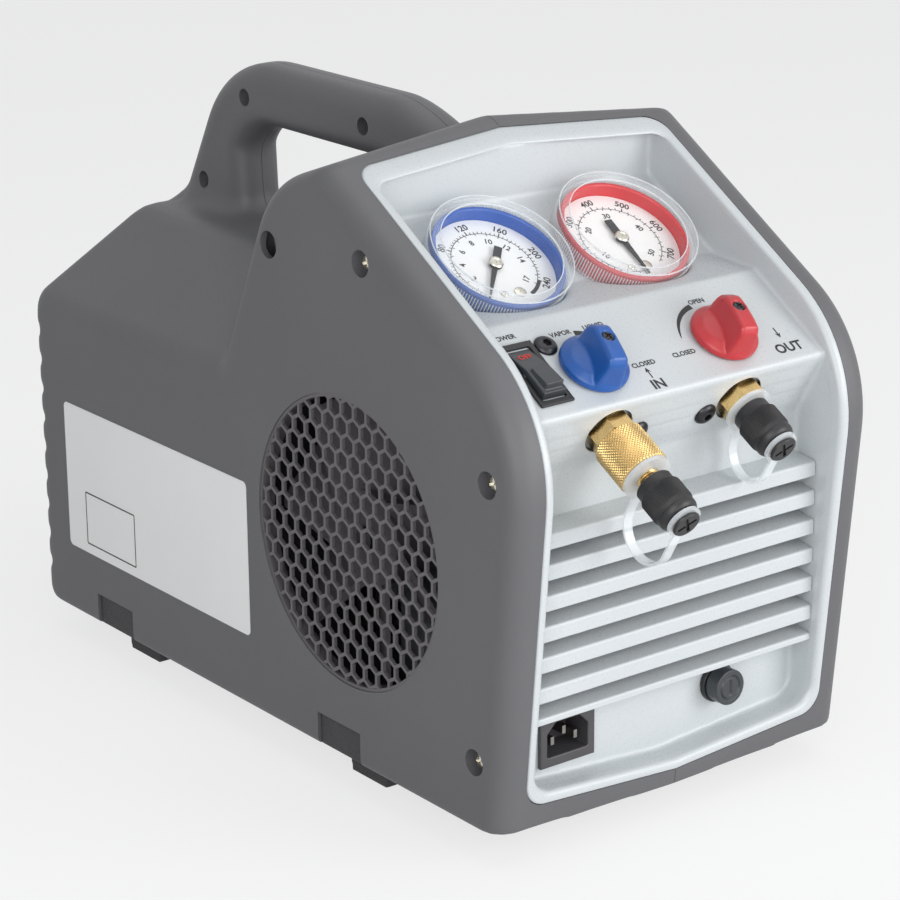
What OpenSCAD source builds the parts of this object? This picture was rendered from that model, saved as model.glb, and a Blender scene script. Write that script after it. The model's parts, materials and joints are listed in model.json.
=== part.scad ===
// Portable refrigerant recovery machine: a two-half moulded shell with a carry handle, a light
// front tray with gauges, valves and ports, and the motor, compressor and condenser inside.
// Working frame of the modules: x = 0 on the seam, y = 0 at the shell's front foot (rear is +y),
// z = 0 at the flank's lower edge. place() then stands the part on its feet, about its middle.

/* [Shell] */
// Width over the two flanks
body_w = 220; // [212:1:236]
// Length from the shell's front foot to its rear face
body_len = 404.5; // [396:0.5:430]
// Wall of the moulded halves
wall = 3.2; // [2.6:0.1:3.8]
// Height of the flank where the rear roof begins to slope in
flank_h = 174.7; // [168:0.1:180]
// Height of the flat rear roof
roof_h = 214.5; // [208:0.5:220]
// Width of the flat rear roof
roof_flat_w = 79; // [66:1:90]
// How far the underside falls from the flanks to the seam
seam_drop = 4; // [2:0.5:6]
// Forward lean of the lower front, in degrees
front_lean = 5.6; // [4:0.1:7]
// Slope of the upper front above the level, in degrees
front_slant = 31.2; // [30:0.1:33]
// Height at which lean and slant would meet without the round brow
nose_h = 203; // [200:0.5:206]
// Radius of the brow between them
brow_r = 72; // [60:1:84]
// Distance from the front foot to the peak of the head
peak_y = 135; // [131:0.5:139]
// Slope of the head's top behind the peak, in degrees
crown_slope = 30; // [26:0.5:34]
// Distance from the front foot to the foot of the head's back, at the flank's top
head_back_y = 211; // [204:0.5:218]
// Lean of the head's back from upright, in degrees
head_back_lean = 22; // [18:0.5:26]
// Round from the flanks to the front lip
lip_r = 12; // [8:0.5:14]
// Round of the head's upper corners
corner_r = 28; // [22:0.5:32]
// Fall of the head's top from the seam to its corners
gable = 10; // [6:0.5:13]
// Round of the rear edges
rear_r = 8; // [5:0.5:10]
// Number of grooves across the rear face
rear_grooves = 9; // [6:1:10]
// Distance between the rear grooves
groove_pitch = 16.7; // [14:0.1:17]
// Depth of the rear grooves
groove_depth = 6.5; // [4:0.5:7]
// Height of one rear groove
groove_h = 5.6; // [4:0.1:7]

/* [Handle] */
// Thickness of the handle across the seam
handle_w = 30; // [26:0.5:34]
// Height of the handle bar
handle_h = 33; // [29:0.5:35]
// Top of the handle above the flank's lower edge
handle_top = 304.5; // [301:0.5:309]
// Outer radius of the rear elbow
elbow_r = 65; // [58:0.5:70]
// Where the rear elbow starts, from the front foot
elbow_y = 314; // [306:0.5:318]
// Lean of the rear post from upright, in degrees
post_lean = 28; // [24:0.5:30]
// Round of the handle's edges
handle_round = 11; // [8:0.5:12]

/* [Fan opening] */
// Distance of the fan's axis from the front foot
fan_y = 114.2; // [110:0.1:118]
// Height of the fan's axis
fan_z = 112.6; // [108:0.1:116]
// Radius of the round opening in the left flank
fan_open_r = 73; // [66:0.5:76]
// Depth from the flank to the honeycomb grille
grille_depth = 6; // [4.5:0.5:8]
// Thickness of the grille
grille_t = 2.5; // [2:0.1:3.5]
// Distance between the grille's hexagons
hex_pitch = 10; // [9:0.1:12]
// Width of the webs between the hexagons
hex_web = 1.7; // [1.2:0.1:2.4]

/* [Front tray] */
// Distance from the flank to the tray's rim
rim_margin = 15; // [14:0.5:18]
// Width of the rim
rim_w = 6.5; // [5:0.5:8]
// Wall of the tray
tray_wall = 2.6; // [2.2:0.1:3]
// How far the rim stands proud of the shell
rim_proud = 0.6; // [0.3:0.1:1.2]
// Gap between the rim and the shell
rim_gap = 0.3; // [0.2:0.1:0.5]
// How far the console's ridge lies below the meeting of lean and slant
ridge_drop = 6; // [4:0.5:9]
// Distance from the front foot to the ridge
ridge_y = -4; // [-5:0.5:-2]
// Slope of the upper console, in degrees
console_slope = 32.2; // [31:0.1:33.5]
// Length of the upper console up its slope
console_len = 59; // [57:0.5:61]
// Lean of the lower console from upright, in degrees
under_lean = 29.4; // [27:0.2:31]
// Length of the lower console
under_len = 37.3; // [35:0.1:39]
// Depth of the ledge behind the upper console
ledge_d = 30; // [28:0.5:32]
// Number of louvre slats
slats = 7; // [5:1:7]
// Height of the sill below the lowest louvre
sill_h = 52.8; // [50:0.1:55]
// Height of a slat's front
slat_h = 7.4; // [6:0.1:8]

/* [Gauges] */
// Distance of each gauge from the seam
gauge_x = 39; // [37.5:0.5:42]
// Outer diameter of the clear gauge cover
gauge_d = 71.6; // [66:0.2:73]
// Height of the clear cover
gauge_h = 15; // [13:0.5:17]
// Diameter of the dial
dial_d = 62; // [56:0.5:63]

/* [Valves and ports] */
// Distance of the valves and ports from the tray's side walls
valve_in = 48.5; // [47.5:0.5:50.5]
// Distance of the knobs up the console from the ridge
knob_s = 24; // [22:0.5:26]
// Diameter of the knob's skirt
knob_d = 34; // [30:0.5:36]
// Height of the knob
knob_h = 21; // [18:0.5:23]
// Radius of the valve stems
stem_r = 4; // [3:0.1:5]
// Distance of the ports down the console from the ridge
port_t = 17; // [16:0.5:18]
// Width of the brass hexagons across their corners
hex_d = 23; // [20:0.5:25]
// Radius of the threaded nipples
nipple_r = 5.55; // [4.8:0.05:6]
// Radius of the knurled filter sleeve
sleeve_r = 12.6; // [11:0.1:13.2]
// Length of the knurled filter sleeve
sleeve_len = 22; // [18:0.5:24]
// Radius of the sealing caps
cap_r = 10.5; // [9.5:0.1:11.5]
// Length of the sealing caps
cap_len = 23; // [20:0.5:25]

/* [Switch, inlet and fuse] */
// Distance of the rocker switch from the tray's side wall
rocker_in = 17; // [15.5:0.5:17.5]
// Length of the rocker switch's frame
rocker_len = 38; // [36:0.5:40]
// Tilt of the rocker to each side, in degrees
rocker_tilt = 8; // [5:0.5:9]
// Width of the power inlet's flange
inlet_w = 33; // [30:0.5:35]
// Height of the power inlet's flange
inlet_h = 27; // [24:0.5:28]
// Distance of the power inlet's middle from the tray's side wall
inlet_in = 31.5; // [28.5:0.5:36.5]
// Distance of the fuse holder from the tray's side wall
fuse_in = 50.5; // [38.5:0.5:58.5]
// Diameter of the fuse carrier's head
fuse_d = 20; // [17:0.5:22]

/* [Feet] */
// Height of the pads below the flank's lower edge
stand_h = 18; // [14:0.5:22]
// Length of each foot along the flank
foot_len = 35; // [30:0.5:38]
// Height of the notch that each foot fills
notch_h = 17; // [14:0.5:19]
// Distance from the front foot of the shell to the middle of the front feet
front_foot_y = 123; // [118:0.5:132]
// Distance from the front foot of the shell to the middle of the rear feet
rear_foot_y = 330.5; // [322:0.5:342]

/* [Machinery] */
// Radius of the fan
fan_r = 69; // [62:0.5:71]
// Number of fan blades
fan_blades = 7; // [5:1:9]
// Radius of the motor shaft
shaft_r = 6; // [5:0.1:7]
// Radius of the motor's case
motor_r = 47; // [42:0.5:47.5]
// Length of the motor's case
motor_len = 82; // [74:1:86]
// Side of the square crankcase
crank_side = 70; // [64:1:72]
// Length of one finned cylinder
cylinder_len = 35; // [30:0.5:37]
// Radius of the copper lines
line_r = 3.2; // [2.4:0.1:3.6]

/* [Hidden] */
$fn = 48;
hw = body_w / 2;
fit = 0.05;
gap = 0.3;
thin = 0.02;
arc_step = 9;
cap_axis_gap = 4;
hex_h = 7;
ring_t = 2;
button_t = 1.8;
button_r = 7;
eye_t = 2.2;

rim_hw = hw - rim_margin;
pocket_hw = rim_hw - rim_w;
ridge_h = nose_h - ridge_drop;
valve_x = pocket_hw - valve_in;
rocker_x = pocket_hw - rocker_in;
inlet_x = pocket_hw - inlet_in;
fuse_x = pocket_hw - fuse_in;
port_reach_in = hex_h + sleeve_len + ring_t + cap_axis_gap + cap_len + eye_t + button_t;
port_reach_out = hex_h + ring_t + gap + cap_len + eye_t + button_t;

// Foremost and rearmost points, which set the middle of the part
under_out = [-cos(under_lean), -sin(under_lean)];
under_down = [sin(under_lean), -cos(under_lean)];
port_foot = [ridge_y, ridge_h] + under_down * port_t;
front_reach = (port_foot + under_out * port_reach_in).x - button_r * sin(under_lean);
mid_y = (front_reach + body_len) / 2;

// Plane geometry
function unit(v) = v / norm(v);
function meet(p, u, q, w) = p + u * cross(q - p, w) / cross(u, w);
function turn(a) = a > 180 ? a - 360 : a < -180 ? a + 360 : a;
function corner(a, b, c, r) =
    r <= 0 ? [b] :
    let (u = unit(a - b), w = unit(c - b))
    let (half = acos(u * w) / 2)
    let (m = b + unit(u + w) * r / sin(half))
    let (p = b + u * r / tan(half) - m, q = b + w * r / tan(half) - m)
    let (from = atan2(p.y, p.x))
    let (sweep = turn(atan2(q.y, q.x) - from))
    let (n = max(2, ceil(abs(sweep) / arc_step)))
    [for (i = [0:n]) m + r * [cos(from + sweep * i / n), sin(from + sweep * i / n)]];
function rounded(v, r) = [for (i = [0:len(v) - 1])
    each corner(v[(i + len(v) - 1) % len(v)], v[i], v[(i + 1) % len(v)], r[i])];
function left_normal(v) = unit([-v.y, v.x]);
function shifted(path, d) = [for (i = [0:len(path) - 1])
    let (a = left_normal(path[max(i, 1)] - path[max(i, 1) - 1]))
    let (b = left_normal(path[min(i + 1, len(path) - 1)] - path[min(i + 1, len(path) - 1) - 1]))
    path[i] + d * (a + b) / (1 + a * b)];
function reversed(v) = [for (i = [len(v) - 1:-1:0]) v[i]];

// Front of the head: a lean, a slant and a round brow between them
lean_dir = [-sin(front_lean), cos(front_lean)];
slant_dir = [cos(front_slant), sin(front_slant)];
nose = [-nose_h * tan(front_lean), nose_h];
peak = nose + slant_dir * (peak_y - nose.x) / slant_dir.x;
crown_dir = [cos(crown_slope), -sin(crown_slope)];
back_dir = [sin(head_back_lean), -cos(head_back_lean)];

function lip_inset(x) = x <= hw - lip_r ? 0 : lip_r - sqrt(max(0, lip_r * lip_r - pow(x - hw + lip_r, 2)));
function corner_drop(x) = let (u = x - hw + corner_r)
    gable * min(1, x / (hw - corner_r)) +
    (u <= 0 ? 0 : corner_r - sqrt(max(0, corner_r * corner_r - u * u)));
function bottom_z(x) = -seam_drop * (1 - x / hw);

// Height of the rear roof at a distance x from the seam: flat, a round ridge, a slope and a round eave
roof_fall = atan((roof_h - flank_h) / (hw - roof_flat_w / 2));
ridge_r = 25;
eave_r = 14;
ridge_x = roof_flat_w / 2 - ridge_r * tan(roof_fall / 2);
function roof_slope(x) = flank_h + (hw - x) * tan(roof_fall);
function roof_z(x) =
    x <= ridge_x ? roof_h :
    x <= ridge_x + ridge_r * sin(roof_fall) ? roof_h - ridge_r
        + sqrt(ridge_r * ridge_r - pow(x - ridge_x, 2)) :
    x <= hw - eave_r * (1 - sin(roof_fall)) ? roof_slope(x) :
    roof_slope(hw - eave_r) - eave_r / cos(roof_fall)
        + sqrt(max(0, eave_r * eave_r - pow(x - hw + eave_r, 2)));
function rear_inset(x) = x <= hw - rear_r ? 0 : rear_r - sqrt(max(0,
    rear_r * rear_r - pow(x - hw + rear_r, 2)));

// Side outline of head and rear body at a distance x from the seam, drawn in by t, with its rear at end_y
function side_outline(x, t, end_y) =
    let (i = lip_inset(x) + t, d = corner_drop(x) + t, zb = bottom_z(x) + t)
    let (top = roof_z(x) - t * 1.2, rear = end_y - rear_inset(x))
    let (lean_p = i * [cos(front_lean), sin(front_lean)])
    let (slant_p = nose + i * [sin(front_slant), -cos(front_slant)])
    let (crown_p = peak + d * [-sin(crown_slope), -cos(crown_slope)])
    let (back_p = [head_back_y, flank_h] + i * [-cos(head_back_lean), -sin(head_back_lean)])
    rounded([
        meet(lean_p, lean_dir, [0, zb], [1, 0]),
        meet(lean_p, lean_dir, slant_p, slant_dir),
        meet(slant_p, slant_dir, crown_p, crown_dir),
        meet(crown_p, crown_dir, back_p, back_dir),
        meet(back_p, back_dir, [0, top], [1, 0]),
        [rear, top],
        [rear, zb]
    ], [0, brow_r - i, 5, 20, 10, rear_r, rear_r]);

// Outline of the tray across the machine, drawn in by t from the rim's outer edge
rim_foot = 5;
rim_corner = 12;
function tray_half(t) =
    let (w = rim_hw - t, r = max(8, corner_r - rim_margin / 2 - t), fall = sin(front_slant))
    let (top = peak.y - 5 - t, low = rim_foot + t)
    let (side = [for (a = [0:arc_step:90])
        [w - r * (1 - sin(a)), top - fall * (gable * (w - r) / (hw - corner_r) + r * (1 - cos(a)))]])
    concat([[0, top]], side, corner([w, top - 60], [w, low + seam_drop * 1.6], [0, low], rim_corner),
        [[0, low]]);
function tray_outline(t) = let (half = tray_half(t))
    concat(half, [for (i = [len(half) - 2:-1:1]) [-half[i].x, half[i].y]]);

// Placing and extruding
module place() { translate([0, -mid_y, stand_h]) children(); }
module across(x0, x1) { translate([x0, 0, 0]) rotate([90, 0, 90]) linear_extrude(x1 - x0) children(); }
module along(y0, y1) { translate([0, y1, 0]) rotate([90, 0, 0]) linear_extrude(y1 - y0) children(); }
module on_console(x, s) {
    translate([x, ridge_y + s * cos(console_slope), ridge_h + s * sin(console_slope)])
        rotate([console_slope, 0, 0]) children();
}
module on_under(x, t) {
    translate([x, ridge_y + t * sin(under_lean), ridge_h - t * cos(under_lean)])
        rotate([90 + under_lean, 0, 0]) children();
}
module on_panel(x, z) { translate([x, panel_y, z]) rotate([90, 0, 0]) children(); }
module ring(r_out, r_in, h) {
    difference() {
        cylinder(r = r_out, h = h);
        translate([0, 0, -1]) cylinder(r = r_in, h = h + 2);
    }
}
module tube(points, r) {
    for (i = [0:len(points) - 2]) {
        v = points[i + 1] - points[i];
        translate(points[i])
            rotate([0, acos(v.z / norm(v)), atan2(v.y, v.x)]) cylinder(r = r, h = norm(v), $fn = 24);
        if (i > 0) translate(points[i]) sphere(r = r + 0.3, $fn = 24);
    }
}

// A solid through a row of outlines that have the same number of points
module loft(rows) {
    n = len(rows[0]);
    m = len(rows);
    polyhedron(points = [for (row = rows) each row], faces = concat(
        [[for (i = [n - 1:-1:0]) i]],
        [[for (i = [0:n - 1]) (m - 1) * n + i]],
        [for (j = [0:m - 2]) for (i = [0:n - 1]) let (k = (i + 1) % n) each
            [[j * n + i, (j + 1) * n + k, (j + 1) * n + i], [j * n + i, j * n + k, (j + 1) * n + k]]]));
}

// Shell halves
station_step = 10;
stations = concat([0, ridge_x, ridge_x + ridge_r * sin(roof_fall) / 2, ridge_x + ridge_r * sin(roof_fall)],
    [for (a = [0:station_step:90]) hw - corner_r * (1 - sin(a))]);
// Lofts run past the seam by this much and are cut off there
past_seam = 2;
module body_inside(t, end_y, past) {
    loft([for (x = stations) [for (p = side_outline(x, t, end_y)) [x > 0 ? x - t : -past, p.x, p.y]]]);
}
module body_solid() { body_inside(0, body_len, past_seam); }
module beyond_seam() { translate([-4 * past_seam, -body_len, -body_len])
    cube([4 * past_seam, 3 * body_len, 3 * body_len]); }

// Handle half: cross-sections from the head along the bar, round the elbow and down to the roof
handle_hw = handle_w / 2;
elbow_z = handle_top - elbow_r;
elbow_steps = 6;
blend_y = 200;
blend_run = 50;
blend_fall = 16;
post_foot = elbow_y + elbow_r * cos(post_lean) + (elbow_z + elbow_r * sin(post_lean) - roof_h) *
    tan(post_lean);
function handle_row(inner, outer) =
    let (d = norm(outer - inner), u = unit(outer - inner))
    let (q0 = -1.5 * past_seam)
    [for (q = rounded([[0, q0], [d, q0], [d, handle_hw], [0, handle_hw]],
        [0, 0, handle_round, handle_round]))
        [q.y, inner.x + u.x * q.x, inner.y + u.y * q.x]];
function elbow_row(a) = let (v = [cos(a), sin(a)], c = [elbow_y, elbow_z])
    handle_row(c + v * (elbow_r - handle_h), c + v * elbow_r);
function bar_row(y, fall) = handle_row([y, handle_top - handle_h - fall], [y, handle_top - fall]);
module handle_half() {
    post_z = roof_h - wall / 2;
    loft(concat(
        [handle_row([post_foot - elbow_r + 3, post_z], [post_foot, post_z])],
        [for (i = [0:elbow_steps]) elbow_row(post_lean + i * (90 - post_lean) / elbow_steps)],
        [bar_row(blend_y, 0), bar_row(blend_y - blend_run, blend_fall)]));
}

opening_d = 12;
front_path = concat([nose - lean_dir * (nose_h + 60)],
    corner(nose - lean_dir * nose_h, nose, nose + slant_dir * 150, brow_r),
    [nose + slant_dir * 260]);
module front_band(before, behind) {
    across(-hw - 1, hw + 1)
        polygon(concat([for (p = front_path) p - [before, 0]],
            [for (p = reversed(front_path)) p + [behind, 0]]));
}
module tray_opening() {
    intersection() {
        front_band(20, opening_d);
        along(-60, peak_y + 20) polygon(tray_outline(0));
    }
}
notch_in = 24;
module foot_notch(y) {
    translate([hw - notch_in, y - foot_len / 2 - gap, -seam_drop - 1])
        cube([notch_in + 1, foot_len + 2 * gap, notch_h + seam_drop + 1]);
}
rear_wall = groove_depth + wall;
groove_first = 22;
module rear_ribs() {
    for (i = [0:rear_grooves - 1])
        translate([-1, body_len - groove_depth, groove_first + i * groove_pitch - groove_h / 2])
            cube([hw + 2, groove_depth + 1, groove_h]);
}
module shell_half() {
    difference() {
        union() {
            body_solid();
            handle_half();
        }
        body_inside(wall, body_len - rear_wall, 2 * past_seam);
        beyond_seam();
        tray_opening();
        rear_ribs();
        foot_notch(front_foot_y);
        foot_notch(rear_foot_y);
    }
}

// Places of the case screws and of the deep holes in the left half: [y, z]
screw_places = [[98.4, nose_h + 50.2], [5.3, nose_h - 32.1], [15.8, 33.5]];
hole_places = [[elbow_y + 19, handle_top - 23.5], [226, handle_top - 21.5], [375, roof_h + 14.5]];
head_hole = [166, nose_h + 45];
handle_hole_r = 4.7;
handle_hole_d = 10;
screw_bore_r = 6.5;
screw_seat = 8;
boss_r = 8.5;
boss_len = 13;
head_boss_len = 14;
head_hole_r = 6.8;
collar_w = 6;
module from_left(p, depth) { translate([-hw + depth, p.x, p.y]) rotate([0, 90, 0]) children(); }

module left_shell() {
    color("#636366") place() difference() {
        union() {
            mirror([1, 0, 0]) shell_half();
            from_left([fan_y, fan_z], wall / 2) ring(fan_open_r + collar_w, fan_open_r,
                grille_depth - wall / 2);
            for (p = screw_places) from_left(p, wall / 2) cylinder(r = boss_r, h = boss_len - wall / 2);
            intersection() {
                mirror([1, 0, 0]) body_inside(wall / 2, body_len, past_seam);
                from_left(head_hole, 0) cylinder(r = boss_r, h = head_boss_len);
            }
        }
        from_left([fan_y, fan_z], -1) cylinder(r = fan_open_r, h = grille_depth + 2, $fn = 96);
        for (p = screw_places) {
            from_left(p, -1) cylinder(r = screw_bore_r, h = screw_seat + 1);
            from_left(p, screw_seat - 1) cylinder(r = screw_r + fit, h = boss_len);
        }
        for (p = hole_places) translate([-handle_hw - 1, p.x, p.y]) rotate([0, 90, 0])
            cylinder(r = handle_hole_r, h = handle_hole_d);
        from_left(head_hole, -1) cylinder(r = head_hole_r, h = head_boss_len - 1);
    }
}
module right_shell() { color("#636366") place() shell_half(); }

screw_r = 2.4;
screw_head_r = 4.6;
screw_head_h = 2.8;
module case_screws() {
    color("silver") place() for (p = screw_places) from_left(p, 0) {
        translate([0, 0, screw_seat - screw_head_h]) difference() {
            cylinder(r = screw_head_r, h = screw_head_h);
            translate([-0.6, -2.4, -1]) cube([1.2, 4.8, 2.4]);
            translate([-2.4, -0.6, -1]) cube([4.8, 1.2, 2.4]);
        }
        translate([0, 0, screw_seat]) cylinder(r = screw_r, h = boss_len - screw_seat - 1);
    }
}

// Honeycomb grille and the shroud that clamps it
module fan_grille() {
    r = fan_open_r + collar_w - 1;
    row = hex_pitch * sqrt(3) / 2;
    n = ceil(fan_open_r / row);
    color("#1c1c1e") place() from_left([fan_y, fan_z], grille_depth) linear_extrude(grille_t) difference() {
        circle(r = r, $fn = 96);
        for (j = [-n:n]) for (i = [-n:n]) {
            p = [j * row, (i + (abs(j) % 2) / 2) * hex_pitch];
            if (norm(p) < fan_open_r - hex_pitch * 0.62)
                translate(p) circle(r = (hex_pitch - hex_web) / sqrt(3), $fn = 6);
        }
    }
}
shroud_from = grille_depth + grille_t;
shroud_len = 28;
module fan_shroud() {
    color("#29292b") place() from_left([fan_y, fan_z], shroud_from)
        ring(fan_open_r + collar_w - 1, fan_open_r + 2, shroud_len);
}

// Front tray: rim, gauge recess, console, louvres and lower panel
console_top = [ridge_y, ridge_h] + console_len * [cos(console_slope), sin(console_slope)];
ledge_rise = 2;
floor_foot = console_top + [ledge_d, ledge_rise];
dial_tilt = 32.5;
floor_len = 58;
recess_lean = 6;
floor_top = floor_foot + floor_len * [cos(dial_tilt), sin(dial_tilt)];
under_end = [ridge_y, ridge_h] + under_down * under_len;
panel_y = under_end.x;
back_wall = [-sin(recess_lean), cos(recess_lean)];
recess_path = [floor_top + back_wall * 60, floor_top, floor_foot, console_top,
    [ridge_y, ridge_h], under_end,
    [panel_y, -20]];
slat_drop = 22.6;
slat_top = under_end.y - slat_drop;
slat_pitch = (slat_top - sill_h) / (slats - 1);
slat_t = 2.2;
slat_rise = 2.6;
hub_s = 17.3;
well_r = gauge_d / 2 + gap;
module on_floor(x) {
    translate([x, floor_foot.x + hub_s * cos(dial_tilt), floor_foot.y + hub_s * sin(dial_tilt)])
        rotate([dial_tilt, 0, 0]) children();
}
module slat(z, h) {
    rear = panel_y + tray_wall - 0.4;
    across(-pocket_hw - 1, pocket_hw + 1) polygon([[0, z - h], [0, z], [rear, z + slat_rise],
        [rear, z + slat_rise - slat_t], [slat_t, z - slat_t], [slat_t, z - h]]);
}
port_hole_r = hex_d / 2 + 1.5;
panel_screw_x = valve_x - 19;
panel_screw_t = 22;
rocker_s = 27;
rocker_w = 19;
screw_room = 6.5;
top_screw_x = -(rocker_x - rocker_w / 2 - screw_room);
top_screw_s = knob_s + sqrt(pow(knob_d / 2 + screw_room, 2) - pow(valve_x + top_screw_x, 2));
module panel_screw_spots() {
    on_console(top_screw_x, top_screw_s) children();
    on_under(panel_screw_x, panel_screw_t) children();
    on_under(-panel_screw_x, panel_screw_t) children();
}
inlet_z = 34;
fuse_z = 36;
module front_panel() {
    skin = [for (p = front_path) p - [rim_proud, 0]];
    back = shifted(recess_path, tray_wall);
    rim_end = meet(nose - [rim_proud, 0], slant_dir, back[1], back_wall);
    color("#d5dadd") place() difference() {
        union() {
            difference() {
                union() {
                    intersection() {
                        across(-rim_hw, rim_hw)
                            polygon(concat([for (i = [0:len(skin) - 2]) skin[i]], [rim_end],
                            [for (i = [1:len(back) - 1]) back[i]]));
                        along(-60, peak_y + 40) polygon(tray_outline(rim_gap));
                    }
                    for (x = [-gauge_x, gauge_x])
                        on_floor(x) translate([0, 0, -tray_wall]) cylinder(r = well_r + 2, h = 12);
                }
                intersection() {
                    across(-rim_hw, rim_hw) polygon(concat([[-90, -20], [-90, peak.y + 20]], recess_path));
                    along(-90, peak_y + 40) polygon(tray_outline(rim_w));
                }
                // Window behind the louvres
                translate([-pocket_hw + 5, panel_y - 1, sill_h + 1])
                    cube([2 * pocket_hw - 10, tray_wall + 2, slat_top - sill_h]);
            }
            for (i = [0:slats - 1]) slat(slat_top - i * slat_pitch, i < slats - 1 ? slat_h : slat_t + 1);
        }
        for (x = [-gauge_x, gauge_x]) on_floor(x) {
            cylinder(r = well_r, h = 30);
            translate([0, 0, -10]) cylinder(r = gauge_stem_r + gap, h = 20);
        }
        for (x = [-valve_x, valve_x]) {
            on_console(x, knob_s) translate([0, 0, -10]) cylinder(r = stem_r + gap, h = 20);
            on_under(x, port_t) translate([0, 0, -6]) cylinder(r = port_hole_r, h = 12);
        }
        panel_screw_spots() translate([0, 0, -6]) cylinder(r = 2.5, h = 12);
        on_console(-rocker_x, rocker_s)
            translate([-rocker_w / 2 + 1.5, -rocker_len / 2 + 1.5, -10])
                cube([rocker_w - 3, rocker_len - 3, 20]);
        on_panel(-inlet_x, inlet_z)
            translate([-inlet_w / 2 + 2, -inlet_h / 2 + 2, -10]) cube([inlet_w - 4, inlet_h - 4, 20]);
        on_panel(fuse_x, fuse_z) translate([0, 0, -10]) cylinder(r = fuse_d / 2 - 3 + gap, h = 20);
    }
}
module panel_screws() {
    color("#222224") place() panel_screw_spots() {
        difference() {
            cylinder(r1 = 5, r2 = 3.8, h = 3.2);
            translate([0, 0, 1.2]) cylinder(r = 1.9, h = 3, $fn = 6);
        }
        translate([0, 0, -tray_wall]) cylinder(r = 2.2, h = tray_wall);
    }
}

// Gauges: coloured case, dial, pointer and clear cover
gauge_stem_r = 6;
case_r = gauge_d / 2 - 2.3;
case_floor = 2;
dial_t = 1;
pin_r = 1.5;
pointer_z = case_floor + dial_t + 1.2;
module gauge_case(x, paint) {
    color(paint) place() on_floor(x) {
        difference() {
            cylinder(r = case_r, h = gauge_h - 3.4);
            translate([0, 0, case_floor]) cylinder(r = dial_d / 2 + 0.2, h = gauge_h);
            translate([0, 0, -1]) cylinder(r = pin_r + fit, h = 10);
        }
        translate([0, 0, -16]) difference() {
            cylinder(r = gauge_stem_r, h = 16);
            translate([0, 0, 10]) cylinder(r = pin_r + fit, h = 10);
        }
    }
}
module gauge_dial(x) {
    color("white") place() on_floor(x) translate([0, 0, case_floor])
        ring(dial_d / 2, pin_r + fit, dial_t);
}
module gauge_pointer(x, rest) {
    color("black") place() on_floor(x) rotate([0, 0, rest]) {
        translate([0, 0, -4]) cylinder(r = pin_r, h = pointer_z + 5.6);
        translate([0, 0, pointer_z]) {
            cylinder(r = 3.6, h = 1.4);
            linear_extrude(0.8) polygon([[-1.6, 0], [-0.4, dial_d * 0.4], [0.4, dial_d * 0.4], [1.6, 0]]);
            translate([-2, -dial_d * 0.2, 0]) cube([4, dial_d * 0.2, 0.8]);
        }
    }
}
module gauge_cover(x) {
    color("#e8eef2", 0.4) place() on_floor(x) difference() {
        cylinder(r = gauge_d / 2, h = gauge_h);
        translate([0, 0, -1]) cylinder(r = case_r + 0.15, h = gauge_h - 1);
        translate([0, 0, gauge_h - 0.8]) cylinder(r = dial_d / 2 - 1, h = 2);
    }
}
module blue_gauge_case() { gauge_case(-gauge_x, "#2563b8"); }
module red_gauge_case() { gauge_case(gauge_x, "#d9474a"); }
module blue_gauge_dial() { gauge_dial(-gauge_x); }
module red_gauge_dial() { gauge_dial(gauge_x); }
blue_rest = 140;
red_rest = 180;
module blue_gauge_pointer() { gauge_pointer(-gauge_x, blue_rest); }
module red_gauge_pointer() { gauge_pointer(gauge_x, red_rest); }
module blue_gauge_cover() { gauge_cover(-gauge_x); }
module red_gauge_cover() { gauge_cover(gauge_x); }

// Valve block behind the console, with stems, knobs and ports
block_hw = 52;
block_up = 36;
block_down = 32;
console_dir = [cos(console_slope), sin(console_slope)];
block_ridge = shifted([console_top, [ridge_y, ridge_h], under_end], tray_wall + fit)[1];
block_low = block_ridge + under_down * block_down;
block_face = block_low + console_dir * block_up / 2 + under_down * 0.2;
stem_depth = 16;
module valve_block() {
    color("#b9bcc0") place() difference() {
        across(-block_hw, block_hw) polygon([block_ridge, block_low, block_low + console_dir * block_up,
            block_ridge + console_dir * block_up]);
        for (x = [-valve_x, valve_x])
            on_console(x, knob_s) translate([0, 0, -tray_wall - stem_depth - gap])
                cylinder(r = stem_r + fit, h = stem_depth + 10);
    }
}
skirt_gap = 0.6;
stem_share = 0.55;
module stem(x) {
    color("#b08d4a") place() on_console(x, knob_s) translate([0, 0, -tray_wall - stem_depth])
        cylinder(r = stem_r, h = tray_wall + stem_depth + knob_h * stem_share);
}
rim_h = 3;
rim_round = 1.2;
dome_in = 6;
dome_h = 7;
bar_in = 7.5;
bar_r = 3.8;
bar_root_r = 5.5;
recess_r = 3.2;
recess_d = 1.5;
module knob(x, paint, rest) {
    bar_y = knob_d / 2 - bar_in;
    color(paint) place() on_console(x, knob_s)
    translate([0, 0, skirt_gap]) rotate([0, 0, rest]) difference() {
        union() {
            rotate_extrude() polygon([[0, 0], [knob_d / 2, 0], [knob_d / 2, rim_h],
                [knob_d / 2 - rim_round, rim_h + rim_round], [knob_d / 2 - dome_in, dome_h], [0, dome_h]]);
            hull() for (y = [-bar_y, bar_y]) translate([0, y, rim_h])
                cylinder(r1 = bar_root_r, r2 = bar_r, h = knob_h - rim_h, $fn = 24);
        }
        translate([0, 0, -1]) cylinder(r = stem_r + thin, h = knob_h * stem_share - skirt_gap + 1);
        translate([0, 0, knob_h - recess_d]) cylinder(r = recess_r, h = recess_d + 1);
    }
}
module inlet_stem() { stem(-valve_x); }
module outlet_stem() { stem(valve_x); }
module inlet_knob() { knob(-valve_x, "#2563b8", -12); }
module outlet_knob() { knob(valve_x, "#d9474a", -12); }

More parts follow.
